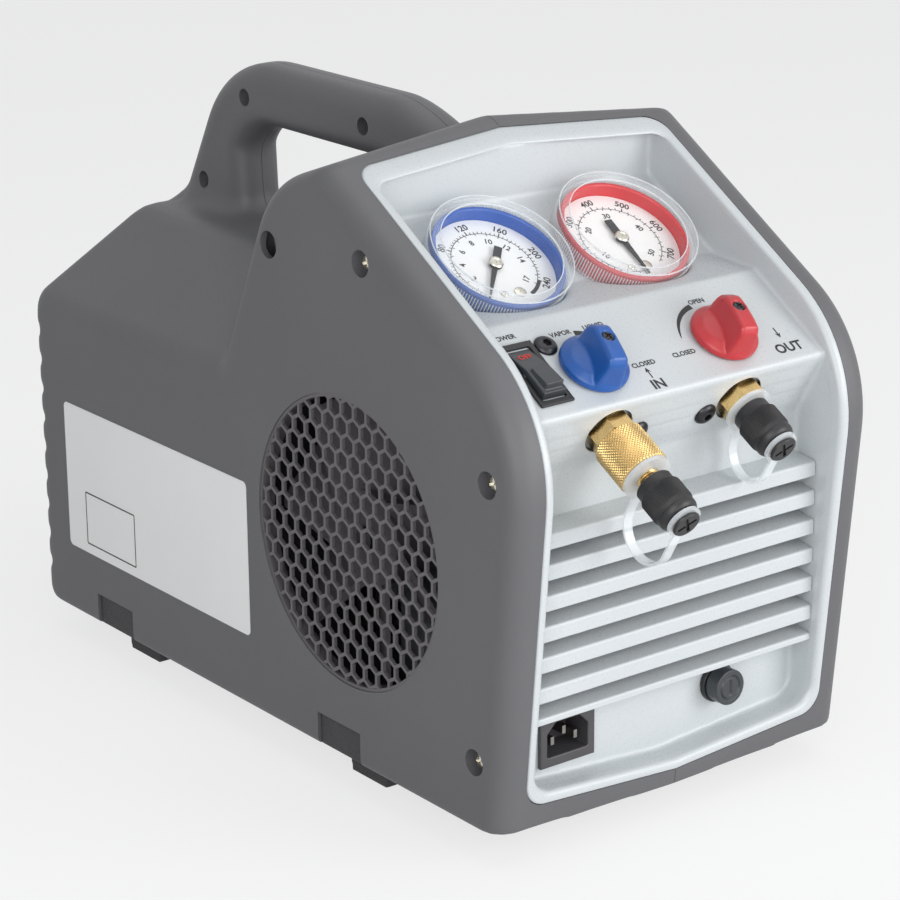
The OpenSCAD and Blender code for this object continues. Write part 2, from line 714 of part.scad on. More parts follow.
module port(x, reach) {
    color("#c9a04e") place() on_under(x, port_t) {
        translate([0, 0, -tray_wall]) cylinder(d = hex_d, h = tray_wall + hex_h, $fn = 6);
        translate([0, 0, hex_h]) cylinder(r = nipple_r, h = reach - hex_h - eye_t - button_t - 8);
    }
}
module inlet_port() { port(-valve_x, port_reach_in); }
module outlet_port() { port(valve_x, port_reach_out); }
module inlet_filter() {
    color("#d4ad5c") place() on_under(-valve_x, port_t) translate([0, 0, hex_h])
        rotate_extrude() polygon([[nipple_r + 0.1, 0], [sleeve_r - 0.8, 0], [sleeve_r, 0.8],
            [sleeve_r, sleeve_len - 0.8], [sleeve_r - 0.8, sleeve_len], [nipple_r + 0.1, sleeve_len]]);
}
// A cap, drawn back from its button end: threaded cup, neck for the tether's eye, button with a cross
module port_cap(x, reach) {
    start = reach - cap_len - eye_t - button_t;
    color("#232325") place() on_under(x, port_t) translate([0, 0, start]) difference() {
        rotate_extrude() polygon([[nipple_r + gap, 0], [cap_r - 1, 0], [cap_r, 1.5], [cap_r, cap_len * 0.7],
            [cap_r - 2.5, cap_len], [eye_neck_r, cap_len], [eye_neck_r, cap_len + eye_t],
            [button_r, cap_len + eye_t], [button_r, cap_len + eye_t + button_t],
                [0, cap_len + eye_t + button_t],
            [0, cap_len - 6], [nipple_r + gap, cap_len - 6]]);
        for (a = [0, 90]) rotate([0, 0, a]) translate([-4, -0.7, cap_len + eye_t + button_t - 1])
            cube([8, 1.4, 2]);
    }
}
eye_neck_r = 4;
module inlet_cap() { port_cap(-valve_x, port_reach_in); }
module outlet_cap() { port_cap(valve_x, port_reach_out); }
// Clear tether: a ring on the port, a hanging loop of flat band and an eye behind the cap's button
band_w = 5;
band_t = 1.2;
module tether(x, ring_z, reach, drop) {
    eye_z = reach - button_t - eye_t + gap;
    eye_h = eye_t - 2 * gap;
    r = (eye_z + eye_h / 2 - ring_z - ring_t / 2) / 2;
    mid = ring_z + ring_t / 2 + r;
    color("#eef2f4", 0.5) place() on_under(x, port_t) {
        translate([0, 0, ring_z]) ring(sleeve_r - 0.4, nipple_r + 0.15, ring_t);
        translate([0, 0, eye_z]) ring(button_r + 1.6, eye_neck_r + gap, eye_h);
        translate([-band_w / 2, -drop, mid - r - band_t / 2]) cube([band_w, drop - sleeve_r + 1.4, band_t]);
        translate([-band_w / 2, -drop, mid + r - band_t / 2]) cube([band_w, drop - button_r - 0.6, band_t]);
        translate([-band_w / 2, -drop, mid]) rotate([0, 90, 0]) rotate([0, 0, 180]) intersection() {
            ring(r + band_t / 2, r - band_t / 2, band_w);
            translate([-2 * r, 0, -1]) cube([4 * r, 2 * r, band_w + 2]);
        }
    }
}
module inlet_tether() { tether(-valve_x, hex_h + sleeve_len, port_reach_in, 22); }
module outlet_tether() { tether(valve_x, hex_h, port_reach_out, 18); }

// Rocker switch
frame_t = 1.6;
rocker_depth = 12;
rocker_hw = rocker_w / 2 - 3;
rocker_half = rocker_len / 2 - 4;
module switch_frame() {
    color("#1d1d1f") place() on_console(-rocker_x, rocker_s) difference() {
        union() {
            translate([-rocker_w / 2, -rocker_len / 2, 0]) cube([rocker_w, rocker_len, frame_t]);
            translate([-rocker_w / 2 + 1.5 + gap, -rocker_len / 2 + 1.5 + gap, -rocker_depth])
                cube([rocker_w - 3 - 2 * gap, rocker_len - 3 - 2 * gap, rocker_depth + thin]);
        }
        translate([-rocker_hw - gap, -rocker_half - 1, -rocker_depth + 2])
            cube([2 * (rocker_hw + gap), 2 * rocker_half + 2, rocker_depth + 10]);
        translate([-rocker_hw - 1, 0, 0]) rotate([0, 90, 0])
            cylinder(r = pin_r + fit, h = 2 * rocker_hw + 2);
    }
}
module rocker() {
    color("#2a2a2c") place() on_console(-rocker_x, rocker_s) {
        rotate([-rocker_tilt, 0, 0]) across(-rocker_hw, rocker_hw)
            polygon([[-rocker_half, -1], [-rocker_half + 1.5, -3.5], [0, -6], [rocker_half - 1.5, -3.5],
                [rocker_half, -1], [rocker_half, 2.6], [0, 4.4], [-rocker_half, 2.6]]);
        translate([-rocker_hw - 0.9, 0, 0]) rotate([0, 90, 0]) cylinder(r = pin_r, h = 2 * rocker_hw + 1.8);
    }
}

// Mains inlet with three blades
flange_t = 2.4;
socket_w = 24.6;
socket_h = 17;
socket_d = 17;
module socket_outline(t) {
    w = socket_w / 2 + t;
    h = socket_h / 2 + t;
    polygon([[-w, -h], [w, -h], [w, h - 5], [w - 5, h], [-w + 5, h], [-w, h - 5]]);
}
module power_inlet() {
    color("#1b1b1d") place() on_panel(-inlet_x, inlet_z) difference() {
        union() {
            translate([-inlet_w / 2, -inlet_h / 2, 0]) cube([inlet_w, inlet_h, flange_t]);
            translate([-inlet_w / 2 + 2 + gap, -inlet_h / 2 + 2 + gap, -socket_d - 3])
                cube([inlet_w - 4 - 2 * gap, inlet_h - 4 - 2 * gap, socket_d + 3 + thin]);
        }
        translate([0, 0, flange_t - socket_d]) linear_extrude(socket_d + 1) socket_outline(0);
    }
}
module inlet_pins() {
    color("silver") place() on_panel(-inlet_x, inlet_z) for (p = [[-7, -2], [0, 2], [7, -2]])
        translate([p.x - 1, p.y - 2, flange_t - socket_d]) cube([2, 4, socket_d - 3]);
}

// Fuse holder and its screwed carrier
carrier_len = 24;
carrier_disc_r = 6.4;
groove_t = 0.9;
slot_w = 1.8;
slot_len = 8;
module fuse_holder() {
    color("#1d1d1f") place() on_panel(fuse_x, fuse_z) {
        ring(fuse_d / 2, fuse_d / 2 - 4, 3);
        translate([0, 0, -carrier_len - 4]) difference() {
            cylinder(r = fuse_d / 2 - 3, h = carrier_len + 4);
            translate([0, 0, 2]) cylinder(r = fuse_d / 2 - 4, h = carrier_len + 4);
        }
    }
}
module fuse_carrier() {
    r = fuse_d / 2 - 4 - fit;
    color("#28282a") place() on_panel(fuse_x, fuse_z) difference() {
        union() {
            translate([0, 0, 3 + gap]) cylinder(r = fuse_d / 2 - 1, h = 8);
            translate([0, 0, -carrier_len]) cylinder(r = r, h = carrier_len + 4);
        }
        translate([0, 0, 3 + 8 + gap - groove_t]) {
            ring(carrier_disc_r, carrier_disc_r - 1, 4);
            translate([-slot_w / 2, -slot_len / 2, 0]) cube([slot_w, slot_len, 4]);
        }
    }
}

// Feet: a rubber block in the flank's notch with a tapered pad below
block_in = hw - notch_in + gap;
block_out = hw - 1.5;
pad_out = hw - 18;
pad_w = 20;
pad_top = bottom_z(pad_out - pad_w) - gap;
pad_taper = 3;
module foot(y) {
    half = foot_len / 2;
    color("#3f3d3f") place() translate([0, y, 0]) {
        translate([block_in, -half, 0]) cube([block_out - block_in, foot_len, notch_h]);
        translate([block_in, -half + 1, pad_top - 1])
            cube([pad_out - block_in - 1, foot_len - 2, 2 - pad_top]);
        across(pad_out - pad_w, pad_out) polygon([[half - 0.5, pad_top], [-half + 0.5, pad_top],
            [-half + pad_taper, -stand_h], [half - pad_taper, -stand_h]]);
    }
}
module front_left_foot() { mirror([1, 0, 0]) foot(front_foot_y); }
module front_right_foot() { foot(front_foot_y); }
module rear_left_foot() { mirror([1, 0, 0]) foot(rear_foot_y); }
module rear_right_foot() { foot(rear_foot_y); }

// Machinery inside
pan_hw = 80;
pan_t = 2;
pan_front = 45;
pan_z = bottom_z(pan_hw + wall) + wall + fit;
pan_top = pan_z + pan_t;
fan_from = -hw + shroud_from + 4;
fan_t = 20;
motor_from = -hw + shroud_from + shroud_len + 6;
motor_to = motor_from + motor_len;
crank_t = 52;
fin_r = 27;
barrel_r = 21;
crank_x = motor_to + fin_r + 1;
head_t = 14;
head_side = 56;
module on_shaft(x) { translate([x, fan_y, fan_z]) rotate([0, 90, 0]) children(); }
blade_pitch = 32;
blade_chord = 60;
blade_t = 2.2;
hub_r = 24;
module fan_impeller() {
    color("#2f3032") place() on_shaft(fan_from) difference() {
        union() {
            cylinder(r = hub_r, h = fan_t);
            intersection() {
                ring(fan_r, hub_r - 1, fan_t);
                for (i = [0:fan_blades - 1]) rotate([0, 0, i * 360 / fan_blades])
                    translate([0, 0, fan_t / 2]) rotate([blade_pitch, 0, 0])
                    translate([0, -blade_chord / 2, -blade_t / 2]) cube([fan_r + 5, blade_chord, blade_t]);
            }
        }
        translate([0, 0, -1]) cylinder(r = shaft_r + thin, h = fan_t + 2);
    }
}
module motor_shaft() {
    color("#9b9fa3") place() on_shaft(fan_from - 2)
        cylinder(r = shaft_r, h = motor_to - fan_from + crank_t - 6);
}
module motor_case() {
    color("#6f7478") place() on_shaft(motor_from) difference() {
        union() {
            cylinder(r = motor_r, h = motor_len);
            translate([0, 0, -4]) cylinder(r = shaft_r + 8, h = 5);
        }
        translate([0, 0, -5]) cylinder(r = shaft_r + fit, h = motor_len + 10);
    }
}
module crankcase() {
    color("#a7abae") place() difference() {
        translate([motor_to, fan_y - crank_side / 2, fan_z - crank_side / 2])
            cube([crank_t, crank_side, crank_side]);
        on_shaft(motor_to - 1) cylinder(r = shaft_r + fit, h = crank_t - 2);
    }
}
fins = 5;
fin_t = 2;
module barrel(dir) {
    color("#b4b7ba") place() translate([crank_x, fan_y + dir * crank_side / 2, fan_z])
        rotate([-90 * dir, 0, 0]) {
        cylinder(r = barrel_r, h = cylinder_len);
        for (i = [1:fins]) translate([0, 0, i * cylinder_len / (fins + 1) - fin_t / 2])
            cylinder(r = fin_r, h = fin_t);
    }
}
module cylinder_head(dir) {
    y = fan_y + dir * (crank_side / 2 + cylinder_len + head_t / 2);
    color("#8f9498") place() translate([crank_x, y, fan_z])
        cube([head_side, head_t, head_side], center = true);
}
module front_cylinder() { barrel(-1); }
module rear_cylinder() { barrel(1); }
module front_cylinder_head() { cylinder_head(-1); }
module rear_cylinder_head() { cylinder_head(1); }
module base_pan() {
    color("#8a8d90") place() translate([-pan_hw, pan_front, pan_z])
        cube([2 * pan_hw, body_len - rear_wall - pan_front - 10, pan_t]);
}
// Cradle: two saddle plates under the motor, two webs under the crankcase and a sole plate
mount_t = 5;
mount_hw = 30;
mount_end = 12;
module motor_mount() {
    from = motor_from + mount_end;
    motor_h = fan_z - mount_hw - pan_top;
    crank_h = fan_z - crank_side / 2 - pan_top;
    color("#77797c") place() translate([0, fan_y, pan_top]) {
        difference() {
            for (x = [from, motor_to - mount_end - mount_t])
                translate([x, -mount_hw, 0]) cube([mount_t, 2 * mount_hw, motor_h]);
            translate([motor_from, 0, fan_z - pan_top]) rotate([0, 90, 0])
                cylinder(r = motor_r + thin, h = motor_len);
        }
        for (y = [-mount_hw, mount_hw - mount_t])
            translate([motor_to + mount_t, y, 0]) cube([crank_t - 2 * mount_t, mount_t, crank_h - thin]);
        translate([from, -mount_hw, 0]) cube([motor_to + crank_t - mount_t - from, 2 * mount_hw, mount_t]);
    }
}
coil_y = 262;
coil_h = 145;
coil_hw = 78;
coil_d = 44;
coil_fins = 12;
coil_fin_t = 2;
coil_top = pan_top + coil_h;
module condenser_coil() {
    color("#aeb6ba") place() {
        for (i = [0:coil_fins])
            translate([-coil_hw + i * (2 * coil_hw - coil_fin_t) / coil_fins, coil_y - coil_d / 2, pan_top])
                cube([coil_fin_t, coil_d, coil_h]);
        for (j = [0:3]) translate([-coil_hw, coil_y, pan_top + 20 + j * 30]) rotate([0, 90, 0])
            cylinder(r = 5, h = 2 * coil_hw);
        translate([-coil_hw, coil_y - 8, coil_top - 8]) cube([2 * coil_hw, 16, 8]);
    }
}
line_x = 36;
line_y = fan_y - crank_side / 2 - cylinder_len - head_t / 2;
line_bend = block_face + under_down * ((line_y - block_face.x) / under_down.x);
head_top = fan_z + head_side / 2;
module suction_line() {
    color("#c8875a") place() tube([[crank_x, block_face.x, block_face.y], [crank_x, line_y, line_bend.y],
        [crank_x, line_y, head_top]], line_r);
}
line_rise = 14;
module discharge_line() {
    y = fan_y + crank_side / 2 + cylinder_len + head_t / 2;
    color("#c8875a") place() tube([[crank_x, y, head_top], [crank_x, y, coil_top + line_rise],
        [crank_x, coil_y, coil_top + line_rise],
        [crank_x, coil_y, coil_top]], line_r);
}
// The liquid line rises over the motor on its way to the coil
line_room = 6;
rise_y = fan_y - motor_r - line_r - line_room;
run_z = max(line_bend.y, fan_z + motor_r + line_r, coil_top) + line_room;
module liquid_line() {
    color("#c8875a") place() tube([[-line_x, block_face.x, block_face.y], [-line_x, line_y, line_bend.y],
        [-line_x, rise_y, line_bend.y], [-line_x, rise_y, run_z], [-line_x, coil_y, run_z],
        [-line_x, coil_y, coil_top]], line_r);
}
module pressure_switch() {
    p = block_ridge + console_dir * block_up + under_down * block_down / 2;
    color("#33383c") place() translate([0, p.x, p.y]) rotate([under_lean - 90, 0, 0]) {
        translate([0, 0, fit]) cylinder(r = 6, h = 4, $fn = 6);
        translate([0, 0, 4]) cylinder(r = 8, h = 9);
    }
}
can_x = 35;
can_r = 20;
can_h = 80;
tab_h = 8;
module run_capacitor() {
    y = coil_y + coil_d / 2 + can_r + 31;
    color("#3a3c40") place() translate([can_x, y, pan_top]) {
        cylinder(r = can_r, h = can_h);
        for (x = [-6, 6]) translate([x - 1, -3, can_h]) cube([2, 6, tab_h]);
    }
}

left_shell();
right_shell();
case_screws();
fan_grille();
fan_shroud();
front_panel();
panel_screws();
blue_gauge_case();
blue_gauge_dial();
blue_gauge_pointer();
blue_gauge_cover();
red_gauge_case();
red_gauge_dial();
red_gauge_pointer();
red_gauge_cover();
valve_block();
inlet_stem();
outlet_stem();
inlet_knob();
outlet_knob();
inlet_port();
outlet_port();
inlet_filter();
inlet_cap();
outlet_cap();
inlet_tether();
outlet_tether();
switch_frame();
rocker();
power_inlet();
inlet_pins();
fuse_holder();
fuse_carrier();
front_left_foot();
front_right_foot();
rear_left_foot();
rear_right_foot();
fan_impeller();
motor_shaft();
motor_case();
crankcase();
front_cylinder();
rear_cylinder();
front_cylinder_head();
rear_cylinder_head();
base_pan();
motor_mount();
condenser_coil();
suction_line();
discharge_line();
liquid_line();
pressure_switch();
run_capacitor();
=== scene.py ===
# %% [markdown]
# # A portable refrigerant recovery machine
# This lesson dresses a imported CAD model: a grey two-half shell with a carry handle, a light front tray with
# gauges, valve knobs and capped ports, and the fan behind its honeycomb. The CAD pieces are the fixed
# frame. Each step makes one piece or finish, sets it where the frame says and lets it ride on its body.

# %% Load the frame
import json
import math

import bmesh
import bpy
import numpy as np
from mathutils import Matrix, Vector


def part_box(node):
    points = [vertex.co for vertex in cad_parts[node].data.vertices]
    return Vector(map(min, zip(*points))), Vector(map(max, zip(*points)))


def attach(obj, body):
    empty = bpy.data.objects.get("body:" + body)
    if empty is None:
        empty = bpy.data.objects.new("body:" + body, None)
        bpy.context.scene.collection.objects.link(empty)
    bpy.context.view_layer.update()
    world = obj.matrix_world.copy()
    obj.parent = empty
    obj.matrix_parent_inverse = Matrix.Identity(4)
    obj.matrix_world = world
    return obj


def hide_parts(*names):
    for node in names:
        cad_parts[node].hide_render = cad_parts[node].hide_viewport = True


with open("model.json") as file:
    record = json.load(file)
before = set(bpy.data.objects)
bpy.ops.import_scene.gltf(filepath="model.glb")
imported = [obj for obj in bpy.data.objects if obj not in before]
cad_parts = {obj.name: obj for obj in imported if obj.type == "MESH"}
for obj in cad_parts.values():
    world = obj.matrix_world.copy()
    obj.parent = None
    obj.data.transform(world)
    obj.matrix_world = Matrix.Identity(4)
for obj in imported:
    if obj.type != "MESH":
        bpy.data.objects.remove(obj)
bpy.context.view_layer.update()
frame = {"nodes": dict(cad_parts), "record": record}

# %% [markdown]
# ## One working frame
# All sizes are millimetres in the frame the machine was drawn in: x = 0 on the seam, y = 0 at the shell's
# front foot, z = 0 at the flank's lower edge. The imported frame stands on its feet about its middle, in
# metres, so one matrix carries points over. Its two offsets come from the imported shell's own box.

# %% Working frame
MM = 0.001
body_len = 404.5
seam_drop = 4
shell_low, shell_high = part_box("right_shell")
hw = shell_high.x / MM
mid_y = body_len - shell_high.y / MM
stand_h = shell_low.z / MM + seam_drop
TO_PART = Matrix.Scale(MM, 4) @ Matrix.Translation((0, -mid_y, stand_h))
ROOT = "machine"
gap = 0.3


def turned(x=0, y=0, z=0):
    """Rotation by degrees about x, then y, then z."""
    rx = Matrix.Rotation(math.radians(x), 4, "X")
    ry = Matrix.Rotation(math.radians(y), 4, "Y")
    rz = Matrix.Rotation(math.radians(z), 4, "Z")
    return rz @ ry @ rx


def moved(x, y, z):
    return Matrix.Translation((x, y, z))


def new_object(name, points, faces, where=None):
    """A mesh object from points in the working frame, or in a local one that where carries over."""
    mesh = bpy.data.meshes.new(name)
    mesh.from_pydata([tuple(p) for p in points], [], [tuple(f) for f in faces])
    mesh.transform(TO_PART @ where if where is not None else TO_PART)
    obj = bpy.data.objects.new(name, mesh)
    bpy.context.scene.collection.objects.link(obj)
    return obj


def baked(obj):
    """Turns an object and its modifiers into plain mesh."""
    graph = bpy.context.evaluated_depsgraph_get()
    mesh = bpy.data.meshes.new_from_object(obj.evaluated_get(graph))
    old = obj.data
    obj.modifiers.clear()
    obj.data = mesh
    bpy.data.meshes.remove(old)
    return obj


def combine(obj, other, how):
    """Boolean of two closed objects; the other one is used up."""
    step = obj.modifiers.new(how, "BOOLEAN")
    step.operation = how
    step.solver = "MANIFOLD"
    step.object = other
    baked(obj)
    bpy.data.objects.remove(other)
    return obj


def joined(name, parts):
    """Several objects as one mesh."""
    work = bmesh.new()
    for part in parts:
        work.from_mesh(part.data)
        bpy.data.objects.remove(part)
    mesh = bpy.data.meshes.new(name)
    work.to_mesh(mesh)
    work.free()
    obj = bpy.data.objects.new(name, mesh)
    bpy.context.scene.collection.objects.link(obj)
    return obj


def outward(obj):
    """Merges doubles and points every face outwards."""
    work = bmesh.new()
    work.from_mesh(obj.data)
    bmesh.ops.remove_doubles(work, verts=work.verts, dist=1e-6)
    bmesh.ops.recalc_face_normals(work, faces=work.faces)
    work.to_mesh(obj.data)
    work.free()
    return obj


def shade(obj, angle=32):
    """Smooth shading with sharp edges kept above an angle."""
    obj.data.shade_smooth()
    obj.data.set_sharp_from_angle(angle=math.radians(angle))
    return obj


def finish_piece(obj, material, body=ROOT, nodes=()):
    """Paints a piece, lets it ride on its body and hides the CAD nodes that it stands for."""
    obj.data.materials.clear()
    obj.data.materials.append(material)
    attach(obj, body)
    if nodes:
        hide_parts(*nodes)
    print(obj.name, len(obj.data.polygons), "faces on", body)
    return obj


print("seam at x = 0, flanks at", round(hw, 2), "mm, middle at y =", round(mid_y, 3))

# %% [markdown]
# ## Plane geometry
# Almost every outline here is a few straight lines with round corners, as on a drawing. Three helpers are
# enough: where two lines meet, the arc of one corner, and an outline with a radius at each point.

# %% Outlines with round corners
ARC_STEP = 4


def unit(v):
    return v / np.linalg.norm(v)


def meet(p, u, q, w):
    """Crossing of the line through p along u with the line through q along w."""
    d = np.subtract(q, p)
    k = (d[0] * w[1] - d[1] * w[0]) / (u[0] * w[1] - u[1] * w[0])
    return np.array(p, float) + np.array(u, float) * k


def corner(a, b, c, r):
    """Arc of radius r that rounds the corner b between a and c."""
    a, b, c = (np.array(p, float) for p in (a, b, c))
    if r <= 0:
        return [b]
    u = unit(a - b)
    w = unit(c - b)
    half = math.acos(float(np.clip(u @ w, -1, 1))) / 2
    m = b + unit(u + w) * r / math.sin(half)
    p = b + u * r / math.tan(half) - m
    q = b + w * r / math.tan(half) - m
    start = math.atan2(p[1], p[0])
    sweep = (math.atan2(q[1], q[0]) - start + math.pi) % (2 * math.pi) - math.pi
    n = max(2, math.ceil(abs(math.degrees(sweep)) / ARC_STEP))
    return [m + r * np.array([math.cos(start + sweep * i / n), math.sin(start + sweep * i / n)])
            for i in range(n + 1)]


def rounded(points, radii):
    n = len(points)
    return [q for i in range(n) for q in corner(points[i - 1], points[i], points[(i + 1) % n], radii[i])]


def rounded_path(points, radii):
    """An open line with a radius at each inner point."""
    inner = [q for i in range(1, len(points) - 1)
             for q in corner(points[i - 1], points[i], points[i + 1], radii[i - 1])]
    return [np.array(points[0], float), *inner, np.array(points[-1], float)]


def loft(rows, closed=False):
    """Points and faces through rows of points of equal length, with flat ends unless closed to a ring."""
    n = len(rows[0])
    m = len(rows)
    points = [tuple(p) for row in rows for p in row]
    faces = []
    for j in range(m if closed else m - 1):
        k = (j + 1) % m
        faces += [(j * n + i, j * n + (i + 1) % n, k * n + (i + 1) % n, k * n + i) for i in range(n)]
    if not closed:
        faces.append(tuple(range(n - 1, -1, -1)))
        faces.append(tuple(range((m - 1) * n, m * n)))
    return points, faces


def revolve(profile, steps):
    """Points and faces of a closed (radius, height) outline turned about z."""
    rows = []
    for i in range(steps):
        a = 2 * math.pi * i / steps
        rows.append([(r * math.cos(a), r * math.sin(a), z) for r, z in profile])
    return loft(rows, closed=True)


def prism(outline, low, high):
    """Points and faces of a flat outline raised from low to high along z."""
    return loft([[(x, y, low) for x, y in outline], [(x, y, high) for x, y in outline]])


print("outline helpers ready, arcs in steps of", ARC_STEP, "degrees")

# %% [markdown]
# ## The camera
# The photograph was taken with a long lens from the front left, a little above the gauges. Eye point,
# heading and lens were worked out from corners whose real places are known, so the render lies over the
# photograph.

# %% Camera
eye = Vector((-0.8807, -1.1477, 0.6175))
heading_deg = 37.514
down_deg = 18.307
roll_deg = -0.471
lens_mm = 119.04
sensor_mm = 36
az, el, roll = (math.radians(v) for v in (heading_deg, down_deg, roll_deg))
right = Vector((math.cos(az), -math.sin(az), 0))
ahead = Vector((math.sin(az) * math.cos(el), math.cos(az) * math.cos(el), -math.sin(el)))
above = Vector((math.sin(az) * math.sin(el), math.cos(az) * math.sin(el), math.cos(el)))
cam_x = right * math.cos(roll) + above * math.sin(roll)
cam_y = above * math.cos(roll) - right * math.sin(roll)
camera_data = bpy.data.cameras.new("photo_camera")
camera_data.lens = lens_mm
camera_data.sensor_width = sensor_mm
camera = bpy.data.objects.new("photo_camera", camera_data)
camera.matrix_world = Matrix((
    (cam_x.x, cam_y.x, -ahead.x, eye.x),
    (cam_x.y, cam_y.y, -ahead.y, eye.y),
    (cam_x.z, cam_y.z, -ahead.z, eye.z),
    (0, 0, 0, 1)))
bpy.context.scene.collection.objects.link(camera)
bpy.context.scene.camera = camera
print("camera at", tuple(round(v, 3) for v in eye), "with a", lens_mm, "mm lens")

# %% [markdown]
# ## Floor, world and lamps
# A product picture has soft light from large panels and a white ground. The floor and the world show plain
# white to the camera, and to glossy and clear surfaces, through the Light Path node, while the light that
# falls on the machine stays at a plain level.

# %% Floor and world
scene = bpy.context.scene
scene.view_settings.view_transform = "Standard"


def seen_ray(tree):
    """One for rays that the eye follows: straight, mirrored or through clear plastic."""
    path = tree.nodes.new("ShaderNodeLightPath")
    total = None
    for name in ("Is Camera Ray", "Is Glossy Ray", "Is Transmission Ray"):
        if total is None:
            total = path.outputs[name]
            continue
        add = tree.nodes.new("ShaderNodeMath")
        add.operation = "MAXIMUM"
        tree.links.new(total, add.inputs[0])
        tree.links.new(path.outputs[name], add.inputs[1])
        total = add.outputs[0]
    return total


world = bpy.data.worlds.new("studio_world")
world.use_nodes = True
scene.world = world
tree = world.node_tree
soft_light = tree.nodes["Background"]
soft_light.inputs["Color"].default_value = (0.93, 0.95, 1.0, 1)
soft_light.inputs["Strength"].default_value = 0.27
white = tree.nodes.new("ShaderNodeBackground")
white.inputs["Color"].default_value = (1, 1, 1, 1)
white.inputs["Strength"].default_value = 1.0
mix = tree.nodes.new("ShaderNodeMixShader")
tree.links.new(seen_ray(tree), mix.inputs[0])
tree.links.new(soft_light.outputs[0], mix.inputs[1])
tree.links.new(white.outputs[0], mix.inputs[2])
tree.links.new(mix.outputs[0], tree.nodes["World Output"].inputs["Surface"])

floor_half = 3.0
floor = bpy.data.objects.new("studio_floor", bpy.data.meshes.new("studio_floor"))
floor.data.from_pydata([(-floor_half, -floor_half, 0), (floor_half, -floor_half, 0),
                        (floor_half, floor_half, 0), (-floor_half, floor_half, 0)], [], [(0, 1, 2, 3)])
scene.collection.objects.link(floor)
paint = bpy.data.materials.new("pale_floor")
paint.use_nodes = True
tree = paint.node_tree
base = tree.nodes["Principled BSDF"]
base.inputs["Base Color"].default_value = (0.9, 0.9, 0.9, 1)
base.inputs["Roughness"].default_value = 0.9
glow = tree.nodes.new("ShaderNodeEmission")
glow.inputs["Strength"].default_value = 1.0
blend_floor = tree.nodes.new("ShaderNodeMixShader")
blend_floor.inputs[0].default_value = 0.72
tree.links.new(base.outputs[0], blend_floor.inputs[1])
tree.links.new(glow.outputs[0], blend_floor.inputs[2])
show = tree.nodes.new("ShaderNodeMixShader")
tree.links.new(seen_ray(tree), show.inputs[0])
tree.links.new(base.outputs[0], show.inputs[1])
tree.links.new(blend_floor.outputs[0], show.inputs[2])
tree.links.new(show.outputs[0], tree.nodes["Material Output"].inputs["Surface"])
floor.data.materials.append(paint)


def softbox(name, place, aim, size, watts):
    lamp = bpy.data.lights.new(name, "AREA")
    lamp.shape = "RECTANGLE"
    lamp.size = size[0]
    lamp.size_y = size[1]
    lamp.energy = watts
    obj = bpy.data.objects.new(name, lamp)
    obj.location = place
    obj.rotation_euler = (Vector(aim) - Vector(place)).to_track_quat("-Z", "Y").to_euler()
    scene.collection.objects.link(obj)
    return obj


middle = (0, 0, 0.15)
softbox("overhead_panel", (0.1, -0.3, 1.7), middle, (1.6, 1.4), 6.5)
softbox("left_panel", (-1.0, -1.05, 0.6), middle, (0.8, 1.0), 9)
softbox("right_panel", (1.0, -1.8, 0.8), middle, (1.2, 1.2), 21)
softbox("front_fill", (0.1, -2.0, 0.4), middle, (1.6, 0.6), 8)
print("studio: floor, white world and four soft panels")

# %% [markdown]
# ## Finishes
# A moulded or turned surface is never one flat colour. Each finish is a Principled shader whose colour and
# roughness drift a little through a noise, with a fine bump at the scale of the real grain. All noises read
# Object coordinates, so they sit still on the piece in any view.

# %% Finish builder
GRAIN_PER_M = 1000.0


def srgb(code):
    """Linear colour of a hex code."""
    parts = [int(code[i:i + 2], 16) / 255 for i in (1, 3, 5)]
    return tuple(v / 12.92 if v <= 0.04045 else ((v + 0.055) / 1.055) ** 2.4 for v in parts)


def noise(tree, scale, detail=2.0):
    """A noise on Object coordinates; scale is cells per metre."""
    coords = tree.nodes.new("ShaderNodeTexCoord")
    cell = tree.nodes.new("ShaderNodeTexNoise")
    cell.inputs["Scale"].default_value = scale
    cell.inputs["Detail"].default_value = detail
    tree.links.new(coords.outputs["Object"], cell.inputs["Vector"])
    return cell.outputs["Fac"]


def spread(tree, value, low, high):
    """Carries a noise from its middle band to low and high."""
    band = tree.nodes.new("ShaderNodeMapRange")
    band.inputs["From Min"].default_value = 0.3
    band.inputs["From Max"].default_value = 0.7
    band.inputs["To Min"].default_value = low
    band.inputs["To Max"].default_value = high
    tree.links.new(value, band.inputs["Value"])
    return band.outputs[0]


def finish(name, colour, rough, vary=0.06, grain_mm=0.8, bump=0.12, patch_mm=60.0, **sockets):
    """A procedural finish: colour with drift, roughness with drift and a fine grain."""
    mat = bpy.data.materials.new(name)
    mat.use_nodes = True
    tree = mat.node_tree
    shader = tree.nodes["Principled BSDF"]
    hue = srgb(colour)
    patch = noise(tree, GRAIN_PER_M / patch_mm, 4.0)
    tint = tree.nodes.new("ShaderNodeMix")
    tint.data_type = "RGBA"
    tint.inputs[6].default_value = (*[v * (1 - vary) for v in hue], 1)
    tint.inputs[7].default_value = (*[min(1, v * (1 + vary)) for v in hue], 1)
    tree.links.new(spread(tree, patch, 0, 1), tint.inputs[0])
    tree.links.new(tint.outputs[2], shader.inputs["Base Color"])
    fine = noise(tree, GRAIN_PER_M / grain_mm)
    tree.links.new(spread(tree, fine, rough * 0.85, min(1, rough * 1.15)), shader.inputs["Roughness"])
    if bump:
        relief = tree.nodes.new("ShaderNodeBump")
        relief.inputs["Strength"].default_value = bump
        relief.inputs["Distance"].default_value = 0.0002
        tree.links.new(fine, relief.inputs["Height"])
        tree.links.new(relief.outputs[0], shader.inputs["Normal"])
    for socket, value in sockets.items():
        shader.inputs[socket.replace("_", " ")].default_value = value
    return mat


